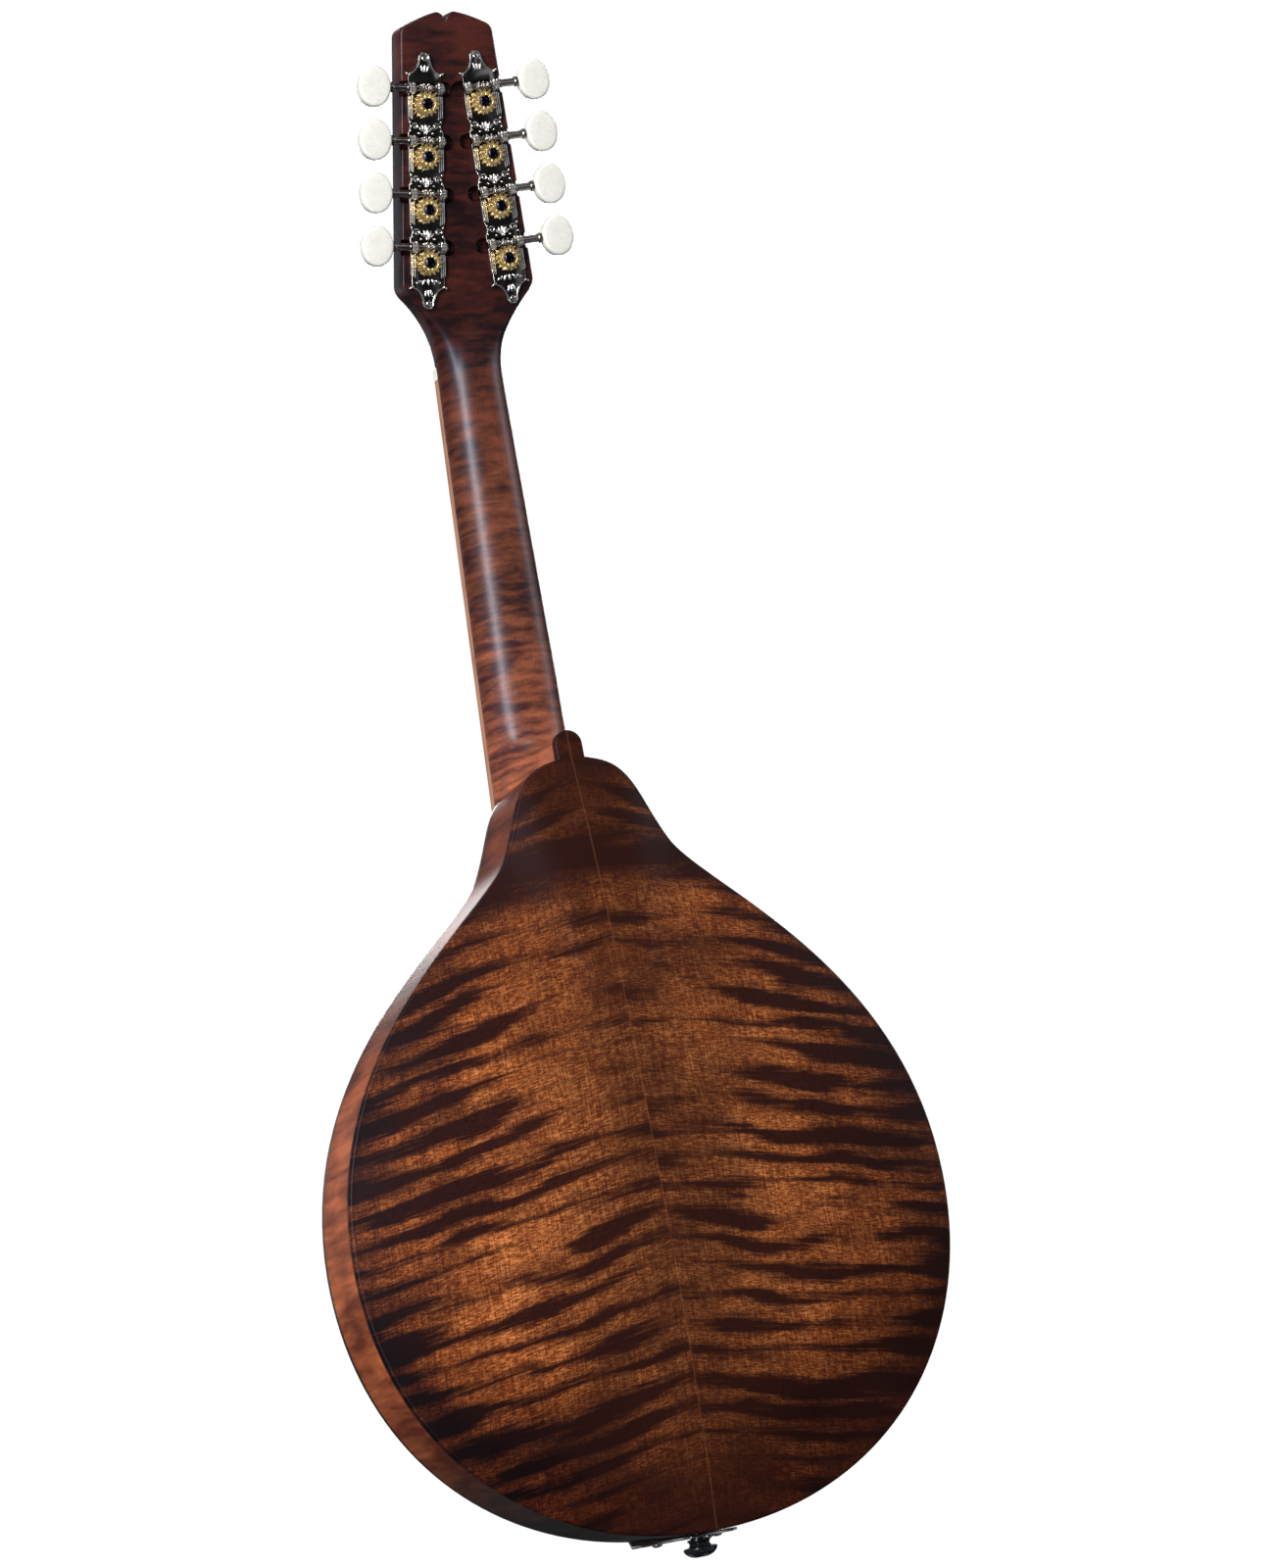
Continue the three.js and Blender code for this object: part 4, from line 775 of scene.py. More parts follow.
def f_hole(side):
    """Cutters of one f-hole: two eyes and a curved slot with pointed ends."""
    spine = [Vector((side * x, z)) for x, z in ((47, -122.5), (62, -108), (46, -214), (64, -200.5))]
    steps = 32
    line = [spine[0]] + bezier(spine, steps)
    edges = {1: [], -1: []}
    for i, p in enumerate(line):
        along = (line[min(i + 1, steps)] - line[max(i - 1, 0)]).normalized()
        half_slot = 0.8 + 1.9 * max(0, math.sin(math.pi * i / steps)) ** 0.7
        for sign in edges:
            edges[sign].append(p + Vector((along.y, -along.x)) * (sign * half_slot))
    front, back = -DEPTH - TOP_ARCH - 5, -DEPTH + PLATE_EDGE + 5
    slot = pillow(edges[1] + edges[-1][::-1], front, back)
    eyes = ((47, -127, 4), (63, -196, 5.2))
    return [slot] + [pillow(arc(side * x, z, r, 0, 348.75, 31), front, back) for x, z, r in eyes]


def rib(side):
    """One side of the sound box, bent from the neck's tenon to the seam at the tail."""
    tenon_half_width, thickness = 6.7, 2
    outer, inner = ([p for p in half_outline(inset=inset) if p.x > tenon_half_width or p.y < -20]
                    for inset in (0, thickness))
    outer[-1].x = inner[-1].x = 0.1
    outline = [Vector((side * p.x, p.y)) for p in outer + inner[::-1]]
    return pillow(outline, -DEPTH + PLATE_EDGE + 0.2, -PLATE_EDGE - 0.2)


def add_sound_box():
    back = combine(carved_plate(0, BACK_ARCH, 1, 1.3), [heel_tab()], "UNION")
    piece("carved_back", moved(back, BODY), FLAMED_MAPLE, "root", ["back_plate"], "flamed_maple_back", 50)
    top = combine(carved_plate(-DEPTH, TOP_ARCH, -1, 1.3), f_hole(1) + f_hole(-1), "DIFFERENCE")
    piece("carved_soundboard", moved(top, BODY), SPRUCE, "root", ["soundboard"], "stained_spruce", 50)
    for name, side in SIDES:
        piece(f"{name}_bent_rib", moved(rib(side), BODY), RIM_MAPLE, "root", [f"{name}_rib"], "stained_maple")


# ---------------------------------------------------------------- neck and headstock

EAR_HALF_WIDTH, EAR_Z = 30.7, 40
BEND = 22  # length of the bend in the neck's back on each side of the nut
BEND_RADIUS = BEND / math.tan(HEAD_PITCH / 2)


def flare_half_width(z):
    """Half width of the neck's flare: an arc that leaves the nut straight and reaches the ears."""
    rise, reach = EAR_Z - 3, EAR_HALF_WIDTH - NUT_HALF_WIDTH
    radius = (rise ** 2 + reach ** 2) / (2 * reach)
    return NUT_HALF_WIDTH + radius - math.sqrt(radius ** 2 - min(rise, max(0, z - 3)) ** 2)


def neck_section(half_width, front, back, squareness, corner, place):
    """A section with a flat front. Its back goes from round to a flat with rounded corners."""
    half = []
    for k in range(25):
        share = k / 24
        angle = share * math.pi / 2
        power = 2 / 2.3
        rounded = Vector((half_width * math.cos(angle) ** power, lerp(front, back, math.sin(angle) ** power)))
        if share < 0.3:
            squared = Vector((half_width, lerp(front, back - corner, share / 0.3)))
        elif share < 0.6:
            turn = (share - 0.3) / 0.3 * math.pi / 2
            inward = corner * (1 - math.cos(turn))
            squared = Vector((half_width - inward, back - corner * (1 - math.sin(turn))))
        else:
            squared = Vector((lerp(half_width - corner, 0, (share - 0.6) / 0.4), back))
        half.append(rounded.lerp(squared, squareness))
    return [place @ Vector((p.x, p.y, 0)) for p in half + reflected(half[:-1])]


def along_neck(z):
    """The frame at a length z along the neck's front: straight, bent round the nut, straight again."""
    if z >= BEND:
        return Matrix.Rotation(-HEAD_PITCH, 4, "X") @ Matrix.Translation((0, 0, z))
    if z <= -BEND:
        return Matrix.Translation((0, 0, z))
    angle = HEAD_PITCH * (z + BEND) / (2 * BEND)
    sideways, along = BEND_RADIUS * (1 - math.cos(angle)), BEND_RADIUS * math.sin(angle)
    return Matrix.Translation((0, sideways, along - BEND)) @ Matrix.Rotation(-angle, 4, "X")


def neck_shaft():
    """The neck from inside the sound box up through its flare into the headstock. Its front stays on the
    planes of the board and of the headstock while its back bends."""
    overlay_back = HEAD_FACE + OVERLAY + 0.2
    rings = []
    lengths = [-205 + 3 * k for k in range(57)] + [-34 + 2 * k for k in range(37)]
    for z in lengths:
        drop = max(0, BEND - abs(z)) ** 2 / (2 * BEND_RADIUS)
        half_width = board_half_width(z) if z < 0 else flare_half_width(z)
        front = lerp(BOARD_THICKNESS + 0.2, overlay_back, smoothstep(z, -1, 5)) - drop
        back = lerp(20, 22.3, z / -205) if z < 0 else 20
        back -= 4 * smoothstep(z, -14, 36)
        hidden = 0.03 if z > 36 else 0
        squareness = smoothstep(z, -12, 34) ** 1.3
        corner = lerp(8.5, 0.9, smoothstep(z, 10, 37))
        half_width -= hidden
        rings.append(neck_section(half_width, front, back - hidden, squareness, corner, along_neck(z)))
    return loft(rings)


def head_outline(from_z, hidden=0.0):
    """The headstock's outline from a level of the flare up: straight sides and two humps with a notch."""
    flare = []
    z = from_z
    while z < EAR_Z - 3:
        flare.append(Vector((flare_half_width(z) - (hidden if z < 36.5 else 0), z)))
        z += 1.5
    half = flare + bezier([flare[-1], (EAR_HALF_WIDTH, EAR_Z), (EAR_HALF_WIDTH - 0.25, EAR_Z + 3)], 8)
    half.append(Vector((21.3, 151.5)))
    for control, end in (((21, 154.5), (18, 155.7)), ((10.2, 159.5), (4.2, 160.7)), ((1.4, 160.7), (0, 157))):
        half += bezier([half[-1], control, end], 8)
    return half + reflected(half[:-1])


def heel():
    """The heel: rounded level outlines from the tab of the back up into the neck's underside."""
    blend = 13
    rings = []
    for k in range(27):
        y = lerp(-4.2, -50, k / 26)
        t = min(1, max(0, (-PLATE_EDGE - y) / 35))
        into_blend = min(blend, max(0, -26 - y))
        reach = 12.2 + blend - math.sqrt(blend ** 2 - into_blend ** 2) - 14 * smoothstep(-y, 38, 50)
        half_width = 6.2 + 11.5 * t ** 1.6
        ring = []
        for i in range(25):
            angle = math.pi * i / 24
            x = half_width * math.copysign(abs(math.cos(angle)) ** 0.8, math.cos(angle))
            ring.append(Vector((x, y, -9 + (9 + reach) * max(0, math.sin(angle)) ** 0.8)))
        rings.append(ring)
    return moved(loft(rings), NECK.inverted() @ BODY)


def softened(solid, weight_at, rounds):
    """A solid whose points move towards their neighbours, each by its weight, after a finer division."""
    made = to_object("softened", solid)
    mesh = bmesh.new()
    mesh.from_mesh(made.data)
    longest = 2 * MM

    def moves(element):
        return any(weight_at(v.co / MM) > 0 for v in element.verts)

    for _ in range(3):
        bmesh.ops.triangulate(mesh, faces=[face for face in mesh.faces if moves(face)])
        long = [edge for edge in mesh.edges if edge.calc_length() > longest and moves(edge)]
        bmesh.ops.subdivide_edges(mesh, edges=long, cuts=1)
    weights = [(v, weight_at(v.co / MM)) for v in mesh.verts]
    moving = [(v, weight) for v, weight in weights if weight > 0]

    def middle_of_neighbours(v):
        return sum((edge.other_vert(v).co for edge in v.link_edges), Vector()) / len(v.link_edges)

    for _ in range(rounds):
        middles = [middle_of_neighbours(v) for v, _ in moving]
        for (v, weight), middle in zip(moving, middles):
            v.co = v.co.lerp(middle, 0.5 * weight)
    mesh.verts.index_update()
    points = [v.co / MM for v in mesh.verts]
    faces = [tuple(v.index for v in face.verts) for face in mesh.faces]
    mesh.free()
    bpy.data.objects.remove(made)
    return points, faces


def heel_hollow(p):
    """1 where the heel flows into the neck, falling to 0 around it. p is in the neck's frame."""
    q = (NECK.inverted() @ BODY).inverted() @ p
    levels = smoothstep(q.y, -52, -46) * (1 - smoothstep(q.y, -28, -18))
    return levels * smoothstep(q.z, -8, -3) * (1 - smoothstep(q.z, 30, 46))


def tuner_cutters():
    """Round-nosed grooves under the worms, and the holes of the string posts, in the head frame."""
    nose, half_width, depth = -13, 3.5, 3.4
    outline = arc(nose + half_width, WORM_Z, half_width, 90, 270, 14)
    outline += [(25, WORM_Z - half_width), (25, WORM_Z + half_width)]
    groove = pillow(outline, HEAD_BACK - depth, HEAD_BACK + 6, 2.2, 0, 5)
    hole = lathe([(3.4, -5), (3.4, 30)], 20)
    places = [HEAD.inverted() @ station(side, i) for _, side in SIDES for i in range(4)]
    return [moved(cutter, place) for place in places for cutter in (groove, hole)]


def neck_wood():
    to_neck = NECK.inverted()
    to_head = Matrix.Rotation(-HEAD_PITCH, 4, "X")
    board_back = BOARD_THICKNESS + 0.2
    head = moved(pillow(head_outline(31, 0.3), HEAD_FACE + OVERLAY + 0.2, HEAD_BACK, 0.3, 0.9, 5), to_head)
    whole = combine(neck_shaft(), [head, heel()], "UNION")
    whole = softened(whole, heel_hollow, 40)
    body_space = moved(pillow(whole_outline(-0.1), -DEPTH - 3.3, 1), to_neck @ BODY)
    under_board = block((-30, 30), (board_back + 4.5, 60), (-260, -194))
    whole = combine(whole, [body_space, under_board], "DIFFERENCE")
    tongue = block((-15, 15), (board_back, board_back + 4.5), (fret_z(FRETS) - 2, -190))
    tenon = moved(block((-6.5, 6.5), (-DEPTH + 4.4, -4.4), (-14, 6)), to_neck @ BODY)
    whole = combine(whole, [tongue, tenon], "UNION")
    rod_slot = block((-3.2, 3.2), (board_back - 2, 13.5), (-172, 9))
    pocket = block((-5.2, 5.2), (-5, 15), (6.5, 24))
    cutters = [rod_slot, pocket] + [moved(cutter, to_head) for cutter in tuner_cutters()]
    return moved(combine(whole, cutters, "DIFFERENCE"), NECK)


def add_frets():
    """Twenty fret wires, each a rounded crown with bevelled ends over a tang in the board."""
    wires = []
    for n in range(1, FRETS + 1):
        half = board_half_width(fret_z(n)) - 0.4
        stations = [(-half, 0.25), (-half + 0.5, 0.75), (-half + 1.1, 1)]
        stations += [(-x, size) for x, size in reversed(stations)]
        rings = []
        for x, size in stations:
            arch = [Vector((x, -1.0 * size * math.sin(a), 0.95 * math.cos(a)))
                    for a in (math.pi * k / 10 for k in range(11))]
            rings.append(arch)
        crown = moved(loft(rings), (0, -0.02, fret_z(n)))
        tang = block((-1.5, 1.5), (-0.4, 4.4), (fret_z(n) - 0.3, fret_z(n) + 0.3))
        wires += [crown, tang]
    rail = block((-1.5, 1.5), (3.8, 5), (fret_z(FRETS) - 0.3, 0))
    piece("fret_wires", moved(joined(rail, *wires), NECK), FRET_WIRE, "root", ["frets"], "fret_wire", 40)


def add_dots():
    """Pearl position dots in the board, two side by side at the octave."""
    dots = []
    for n, xs in ((5, (0,)), (7, (0,)), (10, (0,)), (12, (-7.5, 7.5)), (15, (0,))):
        z = (fret_z(n) + fret_z(n - 1)) / 2
        dots += [moved(lathe([(2.6, 0.6), (2.6, -0.03), (2.4, -0.06)], 28), (x, 0, z)) for x in xs]
    piece("position_dots", moved(joined(*dots), NECK), PEARL_DOT)


def truss_cover_outline():
    corner, tip_radius, tip_z = Vector((10, 6.5)), 4, 29
    half = [corner, *bezier([corner, (10.5, 14), (4.5, 20), (tip_radius, tip_z)], 14)[:-1]]
    return half + arc(0, tip_z, tip_radius, 0, 180, 16) + reflected(half)


def add_neck():
    piece("carved_neck", neck_wood(), NECK_MAPLE, "root", ["neck"], "stained_maple", 40)
    overlay = pillow(head_outline(6.4), HEAD_FACE, HEAD_FACE + OVERLAY, 0.35, 0, 3)
    pocket = block((-4.6, 4.6), (-5, 10), (5, 23))
    piece("headstock_face", moved(combine(overlay, [pocket], "DIFFERENCE"), HEAD), VENEER, "root",
          ["headstock_overlay"], "black_veneer", 40)
    cover_front = HEAD_FACE - 1.6
    cover = pillow(truss_cover_outline(), cover_front, HEAD_FACE - 0.2, 0.5, 0, 3)
    piece("truss_cover", moved(cover, HEAD), BLACK_PLASTIC, "root", ["truss_rod_cover"], "black_plastic", 40)
    facing_front = Matrix.Rotation(math.pi, 4, "Z")
    for i, (x, z) in enumerate(((-7.2, 9.5), (7.2, 9.5), (0, 29.5))):
        place = HEAD @ Matrix.Translation((x, cover_front, z)) @ facing_front
        piece(f"truss_cover_screw_{i + 1}", moved(SMALL_SCREW, place), NICKEL)
    add_frets()
    add_dots()


# ---------------------------------------------------------------- tuners

def slotted_screw(radius, height, seat=0.4):
    """A domed screw head standing on y = 0, with a slot across it and a short shank below."""
    profile = [(radius * 0.5, -seat * 3), (radius * 0.5, -seat), (radius, -0.05), (radius, height * 0.25)]
    for k in range(1, 7):
        angle = math.radians(15 * k)
        profile.append((radius * math.cos(angle), height * (0.25 + 0.75 * math.sin(angle))))
    slot = block((-radius * 2, radius * 2), (height * 0.55, height * 2), (-radius * 0.13, radius * 0.13))
    return combine(lathe(profile, 28), [moved(slot, Matrix.Rotation(0.7, 4, "Y"))], "DIFFERENCE")


SMALL_SCREW = slotted_screw(1.25, 0.7)
GEAR_SCREW = slotted_screw(2.5, 1.4)
TAIL_SCREW = slotted_screw(2.2, 1.2)

STRIP_HALF_WIDTH, STRIP_LOW, STRIP_HIGH = 8.1, -10.5, 82


def plate_outline():
    """One tuner strip: long scalloped sides and, at each end, a bell with two pointed corners."""
    w = STRIP_HALF_WIDTH

    def bell(level, outward):
        corner = Vector((w + 0.1, level + outward * 0.4))
        neck = [(x, level + outward * dz) for x, dz in ((5.3, 0.5), (3.6, 2.4), (2.65, 6.6))]
        return [Vector((w - 0.6, level - outward * 0.8)), corner] + bezier([corner, *neck], 10)

    half = list(reversed(bell(STRIP_LOW, -1)))
    for i in range(1, 4):
        waist = POST_PITCH * i - 9.2
        half += [Vector((w - nip, waist + dz)) for nip, dz in ((0, -3), (0.9, -1.2), (0.9, 1.2), (0, 3))]
    half += bell(STRIP_HIGH, 1)
    tip_low = arc(0, STRIP_LOW - 7, 2.8, 200, 340, 12)
    tip_high = arc(0, STRIP_HIGH + 7, 2.8, 20, 160, 12)
    return tip_low + half[1:-1] + tip_high + reflected(half[1:-1])


def scroll(x, z, turn, hand):
    """A small raised scroll, curling in from its foot."""
    path = []
    for k in range(16):
        angle = turn + hand * math.radians(26 * k)
        reach = lerp(1.55, 0.3, k / 15)
        path.append(Vector((x + reach * math.cos(angle), PLATE_BACK_Y + 0.1, z + reach * math.sin(angle))))
    return tube(path, lambda share: lerp(0.36, 0.24, share), 8)


def ornament(z):
    """Raised leaves and scrolls between two tuners."""
    leaves = []
    for turn in (math.radians(28 * k) for k in range(-2, 3)):
        x, up = 2.1 * math.sin(turn), 2.1 * math.cos(turn)
        leaves.append(half_dome(x, z - 2.6 + up, PLATE_BACK_Y, 1.75, 0.62, 0.6, turn))
    leaves.append(half_dome(0, z - 2.7, PLATE_BACK_Y, 0.9, 0.9, 0.75))
    scrolls = [scroll(side * 4.9, z, math.radians(90 - side * 60), side) for side in (1, -1)]
    beads = [half_dome(side * x, z + dz, PLATE_BACK_Y, 0.5, 0.5, 0.45)
             for side in (1, -1) for x, dz in ((7.1, 1.9), (7.1, -1.9), (3.2, -2.9), (6.6, 0))]
    return leaves + scrolls + beads


def bell_relief(z, outward):
    """The raised rim, pointed corners and screw seat of a plate's bell-shaped end."""
    rim = []
    guide = ((7.3, 0.2), (4.7, 0.7), (3.0, 2.6), (2.1, 6.9))
    for side in (1, -1):
        line = [Vector(guide[0]), *bezier(guide, 12)]
        path = [Vector((side * p.x, PLATE_BACK_Y, z + outward * p.y)) for p in line]
        rim.append(tube(path, lambda share: lerp(0.3, 0.45, share), 8))
        rim.append(half_dome(side * 7.75, z + outward * 0.1, PLATE_BACK_Y - 0.5, 1.5, 0.55, 1.3,
                             outward * side * math.radians(58)))
    tip = [Vector((p.x, PLATE_BACK_Y, p.y)) for p in arc(0, z + outward * 7, 2.15, 0, 180 * outward, 12)]
    petals = [half_dome(x, z + outward * 2.6, PLATE_BACK_Y, 1.7, 0.5, 0.55, math.radians(turn) * outward)
              for x, turn in ((-1.3, -14), (0, 0), (1.3, 14))]
    return rim + [tube(tip, 0.45, 8)] + petals


def bearing(x, outward):
    """A beaded bearing that carries the worm's shaft, on a foot on the plate."""
    profile = [(1.75, 0), (2.05, 0), (2.5, 0.25), (2.6, 0.6), (2.5, 0.95), (2.05, 1.15), (2.05, 1.45),
               (2.35, 1.65), (2.45, 2.0), (2.35, 2.4), (1.95, 2.7), (1.75, 2.7)]
    ring = lathe([(r, x + outward * h) for r, h in profile], 24, "X", True)
    xs = sorted((x + outward * 0.3, x + outward * 2.5))
    foot = block(xs, (PLATE_BACK_Y - 0.6, GEAR_Y - 0.6), (-2.3, 2.3), 0.45)
    return joined(moved(ring, (0, GEAR_Y, WORM_Z)), moved(foot, (0, 0, WORM_Z)))


def tuner_plate():
    """The strip with its windows for the worms, and everything that stands up from it."""
    strip = pillow(plate_outline(), PLATE_BACK_Y - 1.2, PLATE_BACK_Y, 0, 0.35, 3)
    worms = [POST_PITCH * i + WORM_Z for i in range(4)]
    windows = [block((-4.6, 4.6), (10, 20), (z - 2.6, z + 2.6)) for z in worms]
    strip = combine(strip, windows, "DIFFERENCE")
    relief = bell_relief(STRIP_LOW, -1) + bell_relief(STRIP_HIGH, 1)
    for i in range(4):
        z = POST_PITCH * i
        for outward in (1, -1):
            relief.append(moved(bearing(outward * 5.2, outward), (0, 0, z)))
            for x in (6.1, 6.95, 7.8):
                low, high = z - 6.4 + (x - 6) * 0.5, z + 3.8 - (x - 6) * 0.3
                path = [Vector((outward * x, PLATE_BACK_Y + 0.12, lerp(low, high, k / 4))) for k in range(5)]
                relief.append(tube(path, 0.3, 8))
        if i:
            relief += ornament(z - 9.6)
    relief += [half_dome(x, -8.2, PLATE_BACK_Y, 1.5, 0.6, 0.6, math.radians(turn))
               for x, turn in ((-4.5, 60), (-2.2, 25), (0, 0), (2.2, -25), (4.5, -60))]
    return strip, joined(*relief)


def gear():
    """A worm gear: rounded teeth leaning with the thread, waisted round the worm, on a stepped disc."""
    lean = math.atan(WORM_LEAD / (2 * math.pi * 1.85))
    tooth_root, middle_radius = 4.45, 4.95
    rings = []
    for k in range(9):
        offset = lerp(-GEAR_HALF, GEAR_HALF, k / 8)
        twist = offset * math.tan(lean) / middle_radius
        tip = 5.35 + 0.45 * (offset / GEAR_HALF) ** 2
        soften = 0.18 if k in (0, 8) else 0
        ring = []
        for angle in circle(TEETH * 8):
            phase = math.cos(TEETH * (angle - math.pi / 2 - twist) + math.pi)
            height = 0.5 + 0.5 * math.tanh(2.2 * phase) / math.tanh(2.2)
            radius = lerp(tooth_root, tip, height) - soften
            ring.append(Vector((radius * math.cos(angle), GEAR_Y + offset, radius * math.sin(angle))))
        rings.append(ring)
    hub_y = GEAR_Y + GEAR_HALF
    steps = ((4.15, -0.3), (4.1, 0.12), (3.9, 0.2), (3.6, 0.2), (3.45, 0.08), (3.2, 0.08), (3.05, 0.22),
             (2.6, 0.22))
    hub = lathe([(radius, hub_y + rise) for radius, rise in steps], 40)
    petals = [half_dome(3 * math.cos(a), 3 * math.sin(a), hub_y, 0.85, 0.42, 0.42, math.pi / 2 - a, 10)
              for a in circle(10)]
    return joined(loft(rings), hub, *petals)


def string_post():
    """The post: a collar through the headstock and a waisted knob with a string hole in front."""
    profile = [(1.6, -8.5), (2.4, -8.4), (2.85, -8.1), (3, -7.7), (3, -5.7), (2.85, -5.2), (2.4, -4.6),
               (POST_WAIST, -4.0), (POST_WAIST, -2.6), (2.35, -1.7), (2.6, -0.8), (3, 0.3), (3, 17.2)]
    shaft = lathe(profile, 32)
    hole = lathe([(0.75, -6), (0.75, 6)], 14, "X")
    return combine(shaft, [moved(hole, (0, -4.3, 0))], "DIFFERENCE")


def worm_shaft():
    """The worm's thread between its two journals, and the shaft out to the button."""
    sides, threaded = 40, 3.0
    rings = []

    def ring(x, radius_at):
        return [Vector((x, radius_at(a) * math.sin(a), -radius_at(a) * math.cos(a))) for a in circle(sides)]

    def plain(profile):
        return [ring(x, lambda a, r=radius: r) for x, radius in profile]

    rings += plain(((-8.6, 1.3), (-8.4, 1.6), (-8.0, 1.7), (-4.4, 1.7), (-4.2, 1.3), (-3.4, 1.3)))
    steps = 72
    for k in range(steps + 1):
        x = lerp(-threaded, threaded, k / steps)
        fade = smoothstep(threaded - abs(x), 0, 0.5)

        def thread(a, x=x, fade=fade):
            phase = math.cos(2 * math.pi * x / WORM_LEAD - a)
            return 1.3 + 0.95 * fade * max(0, 0.5 + 0.5 * math.tanh(2 * phase + 0.2)) ** 1.3

        rings.append(ring(x, thread))
    journal = ((3.4, 1.3), (4.2, 1.3), (4.4, 1.7), (8.3, 1.7), (8.4, 2.1), (8.9, 2.1), (9.0, 1.7))
    collar = ((15.2, 1.7), (15.3, 2.2), (15.5, 2.35), (16.6, 2.35), (16.7, 1.7))
    rings += plain(journal + collar + ((22.4, 1.7), (22.8, 1.3)))
    return moved(loft(rings), (0, GEAR_Y, WORM_Z))


def button():
    """An oval button with flat faces and generously rounded edges."""
    middle_x, half_length, half_height, half_thickness = 24.1, 7.25, 9, 3.5
    outline = [Vector((middle_x + half_length * math.cos(a), WORM_Z + half_height * math.sin(a)))
               for a in circle(56)]
    normals = inward_normals(outline)
    rings = []
    for level, inset in ((-1, 5), (-1, 1.5), (-0.97, 0.95), (-0.9, 0.5), (-0.76, 0.2), (-0.5, 0.04), (0, 0)):
        rings.append([Vector((p.x + n.x * inset, GEAR_Y + level * half_thickness, p.y + n.y * inset))
                      for p, n in zip(outline, normals)])
    mirrored = [[Vector((p.x, 2 * GEAR_Y - p.y, p.z)) for p in ring] for ring in reversed(rings[:-1])]
    return loft(rings + mirrored)


def ferrule():
    """The bushing round a post in the headstock's face."""
    profile = [(3.15, 2.4), (3.15, 1.35), (3.4, 1.1), (4.1, 1.2), (4.7, 1.7), (4.9, 2.45)]
    return lathe(profile, 32, "Y", True)


def add_tuners():
    wheel, post_shape, shaft, knob, bushing = gear(), string_post(), worm_shaft(), button(), ferrule()
    strip, relief = tuner_plate()
    to_screw = 7.1
    for name, side in SIDES:
        row = row_frame(side)
        # The strip gets the shaded copy of the nickel, as painted shade, and its relief the lit copy, as a
        # painted highlight.
        piece(f"{name}_plate_strip", moved(strip, row), SHADED_NICKEL, "root",
              [f"{name}_tuner_plate"], "nickel", 40)
        piece(f"{name}_plate_relief", moved(relief, row), LIT_NICKEL)
        for end, z in (("low", STRIP_LOW - to_screw), ("high", STRIP_HIGH + to_screw)):
            place = row @ Matrix.Translation((0, PLATE_BACK_Y, z))
            piece(f"{name}_plate_screw_{end}", moved(SMALL_SCREW, place), NICKEL)
        for i in range(4):
            here = station(side, i)
            number = i + 1
            post, worm = f"{name}_post_{number}", f"{name}_worm_{number}"
            piece(f"{name}_gear_{number}", moved(wheel, here), BRASS, post,
                  [f"{name}_string_post_{number}"], "gear_brass", 30)
            piece(f"{name}_capstan_{number}", moved(post_shape, here), NICKEL, post, [], "nickel", 40)
            turned = Matrix.Rotation(i * 0.9, 4, "Y")
            place = here @ Matrix.Translation((0, GEAR_Y + GEAR_HALF + 0.2, 0)) @ turned
            piece(f"{name}_gear_screw_{number}", moved(GEAR_SCREW, place), BLUED_STEEL, post)
            piece(f"{name}_worm_{number}", moved(shaft, here), DARK_STEEL, worm,
                  [f"{name}_worm_shaft_{number}"], "dark_steel", 30)
            piece(f"{name}_knob_{number}", moved(knob, here), PEARL, worm,
                  [f"{name}_button_{number}"], "pearl_plastic", 60)
            piece(f"{name}_ferrule_{number}", moved(bushing, here), NICKEL)


# ---------------------------------------------------------------- strings

def string_x(i, spacing):
    """x of a string where courses, and the two strings of a course, have the given spacing."""
    course, pair = spacing
    return course * (1.5 - i // 2) + pair * (0.5 if i % 2 == 0 else -0.5)


def string_wire(points, radius, start, name, node, finish, slot):
    """A string from a fixed end to the bridge saddle."""
    steps = 24
    path = []
    for a, b in zip(points, points[1:]):
        count = max(1, round(steps * (b - a).length / SCALE_LENGTH))
        path += [a.lerp(b, k / count) for k in range(count)]
    path.append(points[-1])
    wire = to_object(name, moved(tube(path, radius, 10), NECK))
    wire.data.shade_smooth()
    wire.data.materials.append(finish)
    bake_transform(wire)
    return described(wire, [node], slot)


def winding(radius, turns):
    """The string's turns round the waist of its post."""
    reach = POST_WAIST + radius
    steps_per_turn = 20
    count = round(turns * steps_per_turn)
    path = []
    for k in range(count + 1):
        angle = -2 * math.pi * k / steps_per_turn
        y = WAIST_Y - radius * 2.05 * k / steps_per_turn
        path.append(Vector((-reach * math.cos(angle), y, reach * math.sin(angle))))
    return tube(path, radius, 8)


def add_strings():
    for i in range(8):
        course = COURSES[i // 2]
        node = f"{course}_string_{i % 2 + 1}"
        radius = STRING_RADIUS[course]
        name, side = SIDES[0] if i < 4 else SIDES[1]
        post = i if i < 4 else 7 - i
        finish, slot = (PLAIN_WIRE, "plain_wire") if i < 4 else (BRONZE_WIRE, "bronze_wire")
        nut_x = string_x(i, AT_NUT)
        bridge_x = string_x(i, AT_BRIDGE)
        on_hook = NECK.inverted() @ BODY @ Vector((bridge_x * TAIL_X, -58.2 - radius, HOOK_Z))
        on_saddle = Vector((bridge_x, -4 - radius, -SCALE_LENGTH))
        on_nut = Vector((nut_x, -1.4 - radius, -0.2))
        behind_nut = Vector((nut_x, -1.4 - radius, 5.6))
        on_post = NECK.inverted() @ station(side, post) @ Vector((-POST_WAIST - radius, WAIST_Y, 0))
        for part, points, start in (("wire", [on_post, behind_nut, on_nut, on_saddle], on_nut),
                                    ("tail", [on_hook, on_saddle], on_hook)):
            string_wire(points, radius, start, f"{node}_{part}", node, finish, slot)
        coil = winding(radius, 4.25 if radius < 0.3 else 2.25)
        piece(f"{node}_winding", moved(coil, station(side, post)), finish, f"{name}_post_{post + 1}")


